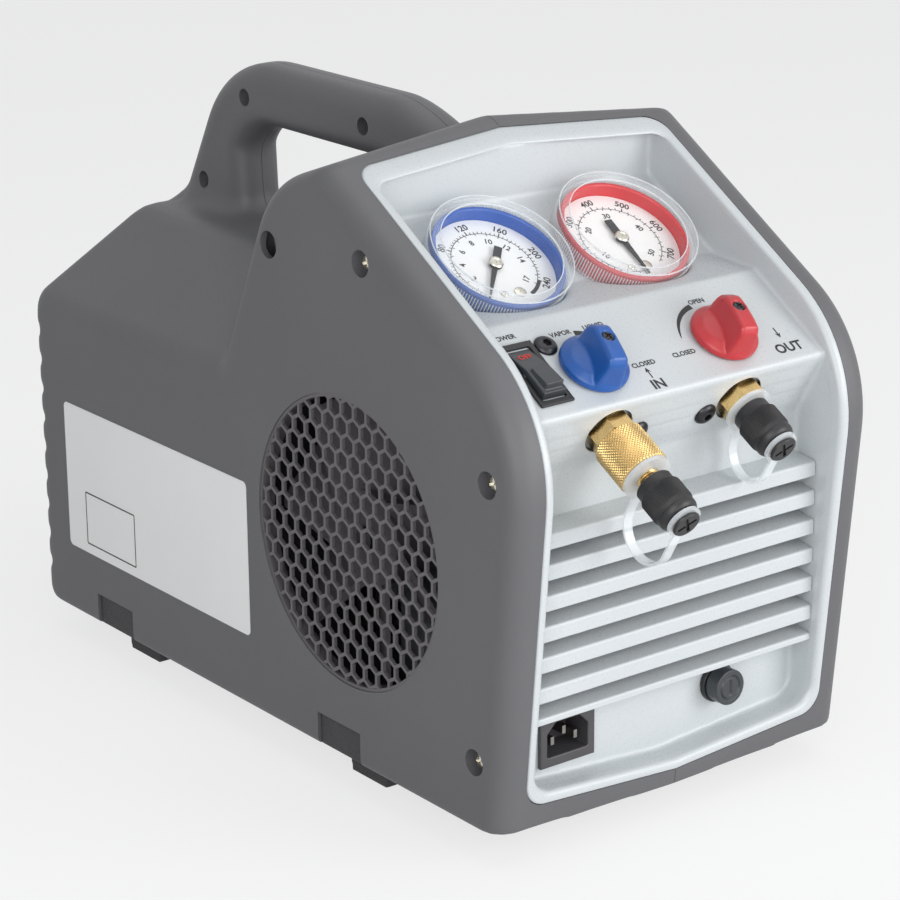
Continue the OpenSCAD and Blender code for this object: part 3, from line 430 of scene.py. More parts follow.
shell_grey = finish("moulded_shell_grey", "#5d5d60", 0.52, 0.05, 0.7, 0.22, 90)
tray_grey = finish("satin_tray_grey", "#c3c8ca", 0.3, 0.02, 0.9, 0.05, 120)
black_plastic = finish("moulded_black", "#1c1c1e", 0.42, 0.15, 0.6, 0.15, 30)
grille_grey = finish("grille_grey", "#5d5a5c", 0.5, 0.06, 0.6, 0.12, 40)
inlet_grey = finish("inlet_grey", "#464447", 0.45, 0.1, 0.6, 0.12, 30)
dull_nickel = finish("dull_nickel", "#8d8b86", 0.35, 0.1, 0.4, 0.08, 6, Metallic=1.0)
fan_grey = finish("fan_grey", "#464144", 0.6, 0.1, 0.9, 0.2, 30)
blue_plastic = finish("gloss_blue", "#1853a0", 0.32, 0.06, 0.7, 0.05, 25)
red_plastic = finish("gloss_red", "#bb3137", 0.32, 0.05, 0.7, 0.05, 25)
cup_blue = finish("cup_blue", "#1650a8", 0.4, 0.06, 0.7, 0.05, 25)
cup_red = finish("cup_red", "#cc1f28", 0.4, 0.05, 0.7, 0.05, 25)
dial_white = finish("printed_dial_white", "#f0f1f0", 0.45, 0.015, 0.5, 0.03, 30)
ink_black = finish("printed_black", "#1b1b1d", 0.55, 0.2, 0.4, 0.05, 8)
ink_red = finish("printed_red", "#d8382c", 0.5, 0.08, 0.4, 0.05, 8)
label_white = finish("label_white", "#f4f4f3", 0.42, 0.012, 1.2, 0.04, 50)
brass = finish("turned_brass", "#d3b57c", 0.26, 0.12, 0.35, 0.1, 9, Metallic=1.0)
bright_steel = finish("plated_steel", "#c9c6bb", 0.27, 0.1, 0.4, 0.08, 6, Metallic=1.0)
black_steel = finish("blacked_steel", "#3a3a3d", 0.34, 0.2, 0.4, 0.1, 6, Metallic=0.85)
foot_rubber = finish("foot_rubber", "#39383a", 0.72, 0.12, 0.9, 0.3, 18)
cast_alloy = finish("cast_alloy", "#a9acae", 0.5, 0.1, 1.1, 0.35, 22, Metallic=0.9)
motor_paint = finish("motor_paint", "#6d7276", 0.45, 0.08, 1.2, 0.2, 40)
sheet_steel = finish("painted_sheet", "#85888b", 0.42, 0.06, 1.5, 0.1, 60)
copper = finish("drawn_copper", "#c57f55", 0.28, 0.12, 0.5, 0.06, 12, Metallic=1.0)
case_plastic = finish("component_case", "#34373b", 0.35, 0.1, 0.7, 0.1, 30)
clear_plastic = finish("clear_moulding", "#eef3f6", 0.06, 0.01, 2.0, 0.03, 40, Alpha=0.12,
                       Specular_IOR_Level=0.9)
# A less clear, whiter finish for the tethers and the cover ribs; on the thin rings of the gauge covers' lips
# it is a painted highlight.
clear_strap_and_highlight = finish("clear_strap_and_highlight", "#eef3f6", 0.15, 0.01, 2.0, 0.03, 40, Alpha=0.5, Specular_IOR_Level=0.9)
clear_lens = finish("clear_lens", "#f5f8fa", 0.04, 0.01, 4.0, 0.0, 60, Alpha=0.025, Specular_IOR_Level=0.5)
print("finishes:", len(bpy.data.materials))

# %% [markdown]
# ## Paint for the CAD pieces
# Most inner pieces keep their CAD shape: motor, compressor, condenser and lines are hidden by the shell.
# The record gives each node a material slot, so one table from slot to finish paints them all.

# %% Paint every CAD node by its slot
SLOT_FINISH = {
    "shell_grey": shell_grey, "tray_grey": tray_grey, "black_plastic": black_plastic,
    "blue_plastic": blue_plastic, "red_plastic": red_plastic, "clear_plastic": clear_plastic,
    "white_dial": dial_white, "brass": brass, "black_screw": black_steel, "bright_steel": bright_steel,
    "rubber": foot_rubber, "cast_alloy": cast_alloy, "motor_grey": motor_paint, "sheet_steel": sheet_steel,
    "copper": copper, "dark_case": case_plastic,
}
for part in frame["record"]["subparts"]:
    node = frame["nodes"][part["node"]]
    node.data.materials.clear()
    node.data.materials.append(SLOT_FINISH[part["material_slot"]])
frame["nodes"]["fan_impeller"].data.materials[0] = fan_grey
frame["nodes"]["inlet_pins"].data.materials[0] = dull_nickel
frame["nodes"]["motor_shaft"].data.materials[0] = black_steel
for tether in ("inlet_tether", "outlet_tether"):
    frame["nodes"][tether].data.materials[0] = clear_strap_and_highlight

# %% [markdown]
# ## The moulded shell
# The housing is two injection-moulded halves. Its side outline changes from the seam to the flank, so a
# loft of outlines gives the body, and a second loft gives the handle. On a real moulding nothing meets at a
# sharp edge: the two lofts are united, remeshed with fine voxels and relaxed. A last pass fills only the
# hollow creases, which grows a fillet at the roots of the handle and leaves the outer edges as they are.

# %% Side outline of the body
wall = 3.2
flank_h = 174.7
roof_h = 214.5
roof_flat_w = 79
front_lean = 5.6
front_slant = 31.2
nose_h = 203
brow_r = 72
peak_y = 142
peak_r = 10
crown_slope = 20
head_back_y = 220
head_back_lean = 24
shoulder_r = 55
lip_r = 12
back_edge_r = 6
crown_edge_r = 7
gable = 11.5
rear_r = 8
ridge_r = 25
eave_r = 14


def along_deg(angle):
    return np.array([math.cos(math.radians(angle)), math.sin(math.radians(angle))])


lean_dir = along_deg(90 + front_lean)
slant_dir = along_deg(front_slant)
crown_dir = along_deg(-crown_slope)
back_dir = along_deg(head_back_lean - 90)
nose = np.array([-nose_h * math.tan(math.radians(front_lean)), nose_h])
peak = nose + slant_dir * (peak_y - nose[0]) / slant_dir[0]
roof_fall = math.atan((roof_h - flank_h) / (hw - roof_flat_w / 2))
ridge_x = roof_flat_w / 2 - ridge_r * math.tan(roof_fall / 2)


def quarter(x, r):
    """Inset of a round of radius r at the flank, at a distance x from the seam."""
    u = x - hw + r
    return 0.0 if u <= 0 else r - math.sqrt(max(0.0, r * r - u * u))


def roof_z(x):
    slope = flank_h + (hw - x) * math.tan(roof_fall)
    if x <= ridge_x:
        return roof_h
    if x <= ridge_x + ridge_r * math.sin(roof_fall):
        return roof_h - ridge_r + math.sqrt(ridge_r ** 2 - (x - ridge_x) ** 2)
    if x <= hw - eave_r * (1 - math.sin(roof_fall)):
        return slope
    start = flank_h + eave_r * math.tan(roof_fall)
    return start - eave_r / math.cos(roof_fall) + math.sqrt(max(0.0, eave_r ** 2 - (x - hw + eave_r) ** 2))


def side_outline(x, t, end_y):
    """Side outline at a distance x from the seam, drawn in by t."""
    i = quarter(x, lip_r) + t
    d = gable * min(1, x / (hw - crown_edge_r)) + quarter(x, crown_edge_r) + t
    low = -seam_drop * (1 - x / hw) + t
    top = roof_z(x) - t * 1.2
    rear = end_y - quarter(x, rear_r)
    lean_p = i * along_deg(front_lean)
    slant_p = nose + i * along_deg(front_slant - 90)
    crown_p = peak + d * along_deg(-90 - crown_slope)
    back_i = quarter(x, back_edge_r) + t
    back_p = np.array([head_back_y, flank_h]) + back_i * along_deg(180 + head_back_lean)
    level = np.array([1, 0])
    points = [meet(lean_p, lean_dir, [0, low], level), meet(lean_p, lean_dir, slant_p, slant_dir),
              meet(slant_p, slant_dir, crown_p, crown_dir), meet(crown_p, crown_dir, back_p, back_dir),
              meet(back_p, back_dir, [0, top], level), [rear, top], [rear, low]]
    return rounded(points, [0, brow_r - i, peak_r, shoulder_r - t, 10, rear_r, rear_r])


ridge_run = ridge_r * math.sin(roof_fall)
half_stations = [0, ridge_x, ridge_x + ridge_run / 2, ridge_x + ridge_run]
half_stations += [hw - eave_r * (1 - math.sin(math.radians(a))) for a in range(0, 91, 5)]


def body_loft(name, t, end_y):
    """The whole body across the machine, drawn in by t."""
    xs = [-x for x in half_stations[:0:-1]] + half_stations
    rows = []
    for x in xs:
        shift = math.copysign(t, x) if x else 0
        rows.append([(x - shift, p[0], p[1]) for p in side_outline(abs(x), t, end_y)])
    return outward(new_object(name, *loft(rows)))


solid = body_loft("shell", 0, body_len)
print("body loft:", len(solid.data.polygons), "faces")

# %% Handle and its roots
handle_hw = 15
handle_h = 33
handle_top = 299.8
elbow_r = 65
elbow_y = 318.5
inner_elbow_y = 312.5
post_lean = 28
handle_round = 11
blend_y = 214
blend_run = 64
blend_fall = 22.7
root_flare = 9
elbow = np.array([elbow_y, handle_top - elbow_r])
inner_elbow = np.array([inner_elbow_y, handle_top - elbow_r])


def handle_row(inner, outer, wide=0.0):
    """One section of the handle between an inner and an outer point of its side view."""
    inner, outer = np.array(inner, float), np.array(outer, float)
    run = unit(outer - inner)
    d = np.linalg.norm(outer - inner)
    half = handle_hw + wide
    box = rounded([[0, -half], [d, -half], [d, half], [0, half]], [handle_round] * 4)
    return [(q[1], *(inner + run * q[0])) for q in box]


rows = []
post_out = elbow + elbow_r * along_deg(post_lean)
post_in = inner_elbow + (elbow_r - handle_h) * along_deg(post_lean)
foot_y = post_out[0] + (post_out[1] - roof_h) * math.tan(math.radians(post_lean))
foot_in_y = foot_y - elbow_r
for h in (-4, 0, 1, 2.5, 5, root_flare):
    rise = min(max(h, 0), root_flare)
    flare = root_flare - math.sqrt(root_flare ** 2 - (root_flare - rise) ** 2)
    share = (rise / (post_in[1] - roof_h)) ** 0.7
    inner_y = foot_in_y * (1 - share) + post_in[0] * share
    outer_y = foot_y - rise * math.tan(math.radians(post_lean))
    back_y = min(outer_y + flare, body_len - 0.5)
    rows.append(handle_row([inner_y - flare, roof_h + h], [back_y, roof_h + h], flare))
for i in range(13):
    v = along_deg(post_lean + i * (90 - post_lean) / 12)
    rows.append(handle_row(inner_elbow + v * (elbow_r - handle_h), elbow + v * elbow_r))
for step in range(17):
    share = step / 16
    y = blend_y + 14 - share * (blend_run + 14)
    fall = blend_fall * max(0, (blend_y - y) / blend_run) ** 1.64
    rows.append(handle_row([y, handle_top - handle_h - fall], [y, handle_top - fall]))
handle = outward(new_object("handle", *loft(rows)))
combine(solid, handle, "UNION")
print("body with handle:", len(solid.data.polygons), "faces")

# %% Moulded recesses, then one soft skin
fan_y = 114.2
fan_z = 112.6
fan_open_r = 73
grille_depth = 6
foot_len = 35
notch_in = 24
notch_h = 17
foot_rows = (123, 330.5)
groove_depth = 6.5
groove_pitch = 16.7
groove_h = 5.6
groove_first = 22
grooves = 9
FLANK = turned(y=90)


def box_points(low, high):
    """Points and faces of a plain box, for cutting."""
    outline = [(low[0], low[1]), (high[0], low[1]), (high[0], high[1]), (low[0], high[1])]
    return prism(outline, low[2], high[2])


def disc(name, r, depth_from, depth_to, where, steps=96):
    """A round cutter along the local z."""
    turns = [2 * math.pi * i / steps for i in range(steps)]
    outline = [(r * math.cos(a), r * math.sin(a)) for a in turns]
    return new_object(name, *prism(outline, depth_from, depth_to), where)


def from_left(y, z):
    """Local frame on the left flank, its z pointing into the machine."""
    return moved(-hw, y, z) @ FLANK


cutters = []
for i in range(grooves):
    z = groove_first + i * groove_pitch
    cutters.append(new_object("cut", *box_points((-hw - 1, body_len - groove_depth, z - groove_h / 2),
                                                 (hw + 1, body_len + 1, z + groove_h / 2))))
for cutter in cutters:
    combine(solid, outward(cutter), "DIFFERENCE")

SHELL_VOXEL = 1.5


def voxel_skin(obj, size):
    """One even skin of small faces over a closed object."""
    step = obj.modifiers.new("skin", "REMESH")
    step.mode = "VOXEL"
    step.voxel_size = size * MM
    return baked(obj)


def relax(obj, rounds, fill_rounds=0, fill_until=None):
    """Rounds edges by averaging neighbours; the filling rounds lift hollow creases ahead of a y limit."""
    mesh = obj.data
    n = len(mesh.vertices)
    place = np.empty(n * 3)
    mesh.vertices.foreach_get("co", place)
    place = place.reshape(-1, 3)
    ends = np.empty(len(mesh.edges) * 2, int)
    mesh.edges.foreach_get("vertices", ends)
    a, b = ends.reshape(-1, 2).T
    count = np.bincount(a, minlength=n) + np.bincount(b, minlength=n)

    def pull():
        total = [np.bincount(a, place[b, k], n) + np.bincount(b, place[a, k], n) for k in range(3)]
        return np.stack(total, 1) / count[:, None] - place

    for _ in range(rounds):
        place += 0.5 * pull()
    for _ in range(fill_rounds):
        mesh.vertices.foreach_set("co", place.ravel())
        mesh.update()
        normal = np.empty(n * 3)
        mesh.vertices.foreach_get("normal", normal)
        step = pull()
        lift = (step * normal.reshape(-1, 3)).sum(1)
        hollow = (lift > 1e-6) & (place[:, 1] < fill_until)
        place[hollow] += 0.5 * step[hollow]
    mesh.vertices.foreach_set("co", place.ravel())
    mesh.update()


voxel_skin(solid, SHELL_VOXEL)
fill_end = (body_len - 2 * groove_depth - mid_y) * MM
relax(solid, 5, 60, fill_end)
print("soft skin:", len(solid.data.polygons), "faces at", SHELL_VOXEL, "mm")

# %% [markdown]
# ## Two halves with walls
# The soft skin is now cut as the mould would: the inside comes out to leave a wall, the front opens for the
# tray, the flanks get their foot notches, and the left half its counterbores and handle holes. Cutting each
# half a hair short of x = 0 leaves the fine dark seam that runs over the handle.

# %% Cut the halves
rim_margin = 16.5
rim_w = 5.5
rim_hw = hw - rim_margin
rim_foot = 5
rim_corner = 12
opening_d = 12
rear_wall = groove_depth + wall
screw_places = [(98.4, 253.2), (5.3, 170.9), (15.8, 33.5)]
hole_places = [(333, 281), (226, 283), (375, 229)]
head_hole = (173, 247.5)
tray_corner_r = 12
top_share = 1.3
seam_half = 0.14


def tray_half(t):
    """Right half of the tray's outline in x and z, drawn in by t, from top middle to bottom middle."""
    w = rim_hw - t
    r = max(8, tray_corner_r - t)
    fall = math.sin(math.radians(front_slant))
    top = peak[1] - 5 - t * top_share
    low = rim_foot + t
    drop = gable * (w - r) / (hw - crown_edge_r)
    side = []
    for a in range(0, 91, 6):
        s = math.radians(a)
        side.append(np.array([w - r * (1 - math.sin(s)), top - fall * (drop + r * (1 - math.cos(s)))]))
    foot = corner([w, top - 60], [w, low + seam_drop * 1.6], [0, low], rim_corner)
    return [np.array([0, top])], side, foot, [np.array([0, low])]


front_path = rounded_path([nose - lean_dir * (nose_h + 60), nose, nose + slant_dir * 260], [brow_r])
front_y = np.array([p[0] for p in front_path])
front_z = np.array([p[1] for p in front_path])


def shell_front(z):
    return np.interp(z, front_z, front_y)


def across(name, outline, x_from, x_to):
    """A closed object: an outline in y and z carried along x."""
    rows = [[(x, p[0], p[1]) for p in outline] for x in (x_from, x_to)]
    return outward(new_object(name, *loft(rows)))


def front_band(before, behind):
    """A band along the shell's front curve, from ahead of it to behind it."""
    outline = [(p[0] - before, p[1]) for p in front_path] + [(p[0] + behind, p[1]) for p in front_path[::-1]]
    return across("front_band", outline, -hw, hw)


def tray_prism(t):
    """The tray's outline, drawn in by t, carried through the machine from front to back."""
    half = [p for group in tray_half(t) for p in group]
    ring = half + [np.array([-p[0], p[1]]) for p in half[-2:0:-1]]
    rows = [[(p[0], y, p[1]) for p in ring] for y in (-90, 260)]
    return outward(new_object("tray_prism", *loft(rows)))


def tray_opening():
    return combine(front_band(30, opening_d), tray_prism(0), "INTERSECT")


def half_shell(name, side):
    """One half of the shell on one side of the seam."""
    half = solid.copy()
    half.data = solid.data.copy()
    half.name = name
    scene.collection.objects.link(half)
    far = 400
    lows = {1: (seam_half, -far, -far), -1: (-hw - far, -far, -far)}
    highs = {1: (hw + far, 2 * far, far), -1: (-seam_half, 2 * far, far)}
    combine(half, outward(new_object("keep", *box_points(lows[side], highs[side]))), "INTERSECT")
    combine(half, body_loft("inside", wall, body_len - rear_wall), "DIFFERENCE")
    combine(half, tray_opening(), "DIFFERENCE")
    for y in foot_rows:
        low = (hw - notch_in, y - foot_len / 2 - gap, -seam_drop - 3)
        high = (hw + 5, y + foot_len / 2 + gap, notch_h)
        if side < 0:
            low, high = (-high[0], low[1], low[2]), (-low[0], high[1], high[2])
        combine(half, outward(new_object("notch", *box_points(low, high))), "DIFFERENCE")
    return half


right_half = half_shell("right_housing", 1)
left_half = half_shell("left_housing", -1)
boss_r = 8.5
boss_len = 13
bore_r = 6.5
seat = 5.8
for y, z in screw_places:
    combine(left_half, disc("boss", boss_r, wall / 2, boss_len, from_left(y, z), 48), "UNION")
    combine(left_half, disc("bore", bore_r, -3, seat, from_left(y, z), 48), "DIFFERENCE")
for y, z in hole_places:
    combine(left_half, disc("hole", 4.7, -3, 10, moved(-handle_hw, y, z) @ FLANK, 40), "DIFFERENCE")
combine(left_half, disc("boss", boss_r, 9, 14, from_left(*head_hole), 48), "UNION")
combine(left_half, disc("hole", 6.8, -3, 13, from_left(*head_hole), 48), "DIFFERENCE")
opening = disc("opening", fan_open_r, -3, grille_depth + 12, from_left(fan_y, fan_z), 128)
combine(left_half, opening, "DIFFERENCE")
collar_w = 6
collar_profile = [(fan_open_r, wall / 2), (fan_open_r + collar_w, wall / 2),
                  (fan_open_r + collar_w, grille_depth), (fan_open_r, grille_depth)]
collar = outward(new_object("collar", *revolve(collar_profile, 96), from_left(fan_y, fan_z)))
combine(left_half, collar, "UNION")
bpy.data.objects.remove(solid)
for half, node in ((right_half, "right_shell"), (left_half, "left_shell")):
    shade(half, 38)
    finish_piece(half, shell_grey, ROOT, [node])

# %% [markdown]
# ## The tray
# The light front is one moulding: a rim that follows the shell's curve, drafted walls and a stepped floor
# that carries gauges, console, louvres and lower panel. The rim is a loft of closed loops, so its rounded
# edges stay crisp all the way round. The floor is cut from three solids and gets a fine voxel skin, which
# rounds every edge as a mould does.

# %% Tray rim
rim_proud = 0.6
rim_round = 0.9
rim_inner_round = 3.2
rim_back = 6


def between(p, q, n):
    """Inner points of a straight stretch."""
    return [p + (q - p) * i / n for i in range(1, n)]


def tray_ring(t):
    """The tray's whole outline, drawn in by t, with points close enough to follow the shell's front."""
    start, side, foot, end = tray_half(t)
    half = start + between(start[0], side[0], 8) + side + between(side[-1], foot[0], 64) + foot
    half += between(foot[-1], end[0], 8) + end
    return half + [np.array([-p[0], p[1]]) for p in half[-2:0:-1]]


def rim_loop(t, depth):
    return [(p[0], shell_front(p[1]) + depth, p[1]) for p in tray_ring(t)]


rim_rows = [rim_loop(gap, rim_back)]
for a in range(0, 91, 30):
    turn = math.radians(a)
    draw = gap + rim_round * (1 - math.cos(turn))
    rim_rows.append(rim_loop(draw, rim_round * (1 - math.sin(turn)) - rim_proud))
for a in range(90, -1, -15):
    turn = math.radians(a)
    draw = rim_w - rim_inner_round * (1 - math.cos(turn))
    rim_rows.append(rim_loop(draw, rim_inner_round * (1 - math.sin(turn)) - rim_proud))
rim_rows.append(rim_loop(rim_w + 0.1, rim_back))
rim = outward(new_object("tray_rim", *loft(rim_rows, closed=True)))
shade(rim, 50)
finish_piece(rim, tray_grey, ROOT, ["front_panel"])

# %% Tray floor
tray_wall = 2.6
pocket_hw = rim_hw - rim_w
behind_rim = 0.3
ridge = np.array([-4.0, 197.0])
console_slope = 32.2
console_len = 59
floor_step = np.array([30.0, 2.0])
dial_tilt = 32.5
floor_len = 58
recess_lean = 2
under_lean = 29.4
under_len = 37.3
hub_s = 17.3
gauge_x = 39
gauge_d = 71.6
well_r = gauge_d / 2 + gap
TRAY_VOXEL = 1.0
under_dir = np.array([math.sin(math.radians(under_lean)), -math.cos(math.radians(under_lean))])
console_top = ridge + console_len * along_deg(console_slope)
floor_foot = console_top + floor_step
floor_top = floor_foot + floor_len * along_deg(dial_tilt)
under_end = ridge + under_len * under_dir
panel_y = under_end[0]
far_up = 60
recess_points = [(panel_y, -20), under_end, ridge, console_top, floor_foot, floor_top,
                 floor_top + far_up * along_deg(90 + recess_lean)]
recess = rounded_path(recess_points, [3, 2.2, 2, 3, 5])


def on_console(x, s):
    p = ridge + s * along_deg(console_slope)
    return moved(x, *p) @ turned(x=console_slope)


def on_under(x, t):
    p = ridge + t * under_dir
    return moved(x, *p) @ turned(x=90 + under_lean)


def on_floor(x):
    p = floor_foot + hub_s * along_deg(dial_tilt)
    return moved(x, *p) @ turned(x=dial_tilt)


def on_panel(x, z):
    return moved(x, panel_y, z) @ turned(x=90)


def ahead_of(name, path):
    """Everything in front of a line of points in y and z."""
    return across(name, [(-90, path[0][1])] + list(path) + [(-90, path[-1][1])], -rim_hw, rim_hw)


tray = ahead_of("tray_floor", [(p[0] + tray_wall * 0.85, p[1] - tray_wall * 0.85) for p in recess])
for x in (-gauge_x, gauge_x):
    combine(tray, disc("well", well_r + 2, -tray_wall, 12, on_floor(x)), "UNION")
combine(tray, tray_prism(rim_w - tray_wall), "INTERSECT")
behind_skin = [(p[0] + 1.5, p[1]) for p in front_path]
keep = behind_skin + [(400, behind_skin[-1][1]), (400, behind_skin[0][1])]
combine(tray, across("behind_skin", keep, -hw, hw), "INTERSECT")
combine(tray, combine(ahead_of("pocket", recess), tray_prism(rim_w - behind_rim), "INTERSECT"), "DIFFERENCE")
for x in (-gauge_x, gauge_x):
    combine(tray, disc("well", well_r, 0, 40, on_floor(x)), "DIFFERENCE")
voxel_skin(tray, TRAY_VOXEL)
relax(tray, 4)
print("tray floor:", len(tray.data.polygons), "faces")

# %% Holes of the tray
valve_x = 40
port_t = 17
port_hole_r = 13
slats = 7
slat_top = 141.9
slat_pitch = 14.85
slat_h = 7.4
slat_t = 2.2
slat_rise = 2.6
inlet_at = (-57, 34)
inlet_low = (-14.5, -11.5, -9)
inlet_high = (14.5, 11.5, 4)
for x in (-valve_x, valve_x):
    combine(tray, disc("hole", port_hole_r, -8, 8, on_under(x, port_t), 64), "DIFFERENCE")
slat_low = slat_top - (slats - 1) * slat_pitch
window = box_points((-pocket_hw + 2, panel_y - 2, slat_low + 1), (pocket_hw - 2, panel_y + 8, slat_top + 1))
combine(tray, outward(new_object("window", *window)), "DIFFERENCE")
inlet_cut = new_object("inlet_cut", *box_points(inlet_low, inlet_high), on_panel(*inlet_at))
combine(tray, outward(inlet_cut), "DIFFERENCE")
shade(tray, 40)
finish_piece(tray, tray_grey, ROOT, ["front_panel"])

# %% [markdown]
# ## Louvres
# Seven slats stand in front of the window: each a bent strip with an upright front and a top that rises to
# the back. One strip is drawn, and a small Geometry Nodes tree sets it in a row, with count and step as
# inputs.

# %% Louvre strip and its row
slat_rear = panel_y + slat_t
strip = rounded([[0, -slat_h], [0, 0], [slat_rear, slat_rise], [slat_rear, slat_rise - slat_t],
                 [slat_t, -slat_t], [slat_t, -slat_h]], [0.7, 1.4, 0, 0, 0.8, 0.7])
sill = rounded([[0, -slat_t - 1], [0, 0], [slat_rear, slat_rise], [slat_rear, slat_rise - slat_t],
                [slat_t, -slat_t], [slat_t, -slat_t - 1]], [0.5, 1.2, 0, 0, 0.8, 0.5])


def group_input(tree, name, kind, value=None):
    """A named input of a tree."""
    item = tree.interface.new_socket(name, in_out="INPUT", socket_type=kind)
    if value is not None:
        item.default_value = value
    return item


def run_tree(tree, obj, values):
    """Runs a tree on an object with inputs set by identifier, and turns the result to plain mesh."""
    step = obj.modifiers.new(tree.name, "NODES")
    step.node_group = tree
    for item in tree.interface.items_tree:
        if item.item_type == "SOCKET" and item.in_out == "INPUT" and item.name in values:
            step[item.identifier] = values[item.name]
    return baked(obj)


def row_tree(name, material):
    """A tree that repeats the object's own mesh in a straight row."""
    tree = bpy.data.node_groups.new(name, "GeometryNodeTree")
    group_input(tree, "Geometry", "NodeSocketGeometry")
    group_input(tree, "Count", "NodeSocketInt", 2)
    group_input(tree, "Step", "NodeSocketVector")
    tree.interface.new_socket("Geometry", in_out="OUTPUT", socket_type="NodeSocketGeometry")
    take = tree.nodes.new("NodeGroupInput")
    give = tree.nodes.new("NodeGroupOutput")
    line = tree.nodes.new("GeometryNodeMeshLine")
    set_out = tree.nodes.new("GeometryNodeInstanceOnPoints")
    real = tree.nodes.new("GeometryNodeRealizeInstances")
    paint_node = tree.nodes.new("GeometryNodeSetMaterial")
    paint_node.inputs["Material"].default_value = material
    tree.links.new(take.outputs["Count"], line.inputs["Count"])
    tree.links.new(take.outputs["Step"], line.inputs["Offset"])
    tree.links.new(line.outputs[0], set_out.inputs["Points"])
    tree.links.new(take.outputs["Geometry"], set_out.inputs["Instance"])
    tree.links.new(set_out.outputs[0], real.inputs[0])
    tree.links.new(real.outputs[0], paint_node.inputs["Geometry"])
    tree.links.new(paint_node.outputs[0], give.inputs[0])
    return tree


slat_row = across("louvre_slats", [(p[0], p[1] + slat_top) for p in strip], -pocket_hw + 0.3, pocket_hw - 0.3)
run_tree(row_tree("slat_row", tray_grey), slat_row, {"Count": slats - 1, "Step": (0, 0, -slat_pitch * MM)})
shade(slat_row, 40)
finish_piece(slat_row, tray_grey, ROOT, ["front_panel"])
sill_strip = across("louvre_sill", [(p[0], p[1] + slat_low) for p in sill], -pocket_hw + 0.3, pocket_hw - 0.3)
shade(sill_strip, 40)
finish_piece(sill_strip, tray_grey, ROOT, ["front_panel"])

# %% [markdown]
# ## The honeycomb
# The fan breathes through a honeycomb that stands almost flush with the flank. The same row tree runs
# twice: two cells become a row, and the row becomes a field. Cut to a circle, the field is then taken out
# of a disc, and what is left are the thin webs. A collar behind the disc carries it on the shroud.

# %% Honeycomb grille
hex_pitch = 10
hex_web = 1.7
hex_row = hex_pitch * math.sqrt(3) / 2
cell_r = (hex_pitch - hex_web) / math.sqrt(3)
seen_cell = (117.5, 170.3)
cells_across = 17
row_pairs = 10
first_cell = (seen_cell[0] - 8 * hex_pitch, seen_cell[1] - 16 * hex_row)
grille_face = 0.9
grille_t = 1.8
rim_in = fan_open_r - 1.6
rim_out = fan_open_r - 0.1
flange_r = fan_open_r + 5
flange_low = grille_depth + 0.05
flange_high = grille_depth + 2.4
fan_frame = from_left(fan_y, fan_z)
cell = [(cell_r * math.cos(math.radians(a)), cell_r * math.sin(math.radians(a))) for a in range(0, 360, 60)]
pair = []
for across_by, up_by in ((0, 0), (hex_pitch / 2, hex_row)):
    spot = from_left(first_cell[0] + across_by, first_cell[1] + up_by)
    pair.append(outward(new_object("cell", *prism(cell, -2, 5), spot)))
cells = joined("cells", pair)
run_tree(row_tree("cell_row", shell_grey), cells, {"Count": cells_across, "Step": (0, hex_pitch * MM, 0)})
run_tree(row_tree("cell_field", shell_grey), cells, {"Count": row_pairs, "Step": (0, 0, 2 * hex_row * MM)})
combine(cells, outward(disc("clip", fan_open_r - 1.8, -3, 6, fan_frame, 128)), "INTERSECT")
grille_rim = [(rim_in, 0.7), (rim_out, 0.7), (rim_out, flange_low), (flange_r, flange_low),
              (flange_r, flange_high), (rim_in, flange_high)]
grille = outward(new_object("fan_grille_moulding", *revolve(grille_rim, 128), fan_frame))
web_disc = disc("webs", fan_open_r - 1, grille_face, grille_face + grille_t, fan_frame, 128)
combine(grille, outward(web_disc), "UNION")
combine(grille, cells, "DIFFERENCE")
shade(grille, 30)
finish_piece(grille, grille_grey, ROOT, ["fan_grille"])

# %% [markdown]
# ## Turned and repeated pieces
# Ticks of a scale and ribs of a cover all repeat one small shape. A second tree repeats an
# object's own mesh round its z axis, with count, first angle and step as inputs. Print is made from text,
# turned to mesh, so it is real geometry a few hundredths of a millimetre thick.

# %% Ring tree and lettering
print_t = 0.06
CAP_SHARE = 0.72


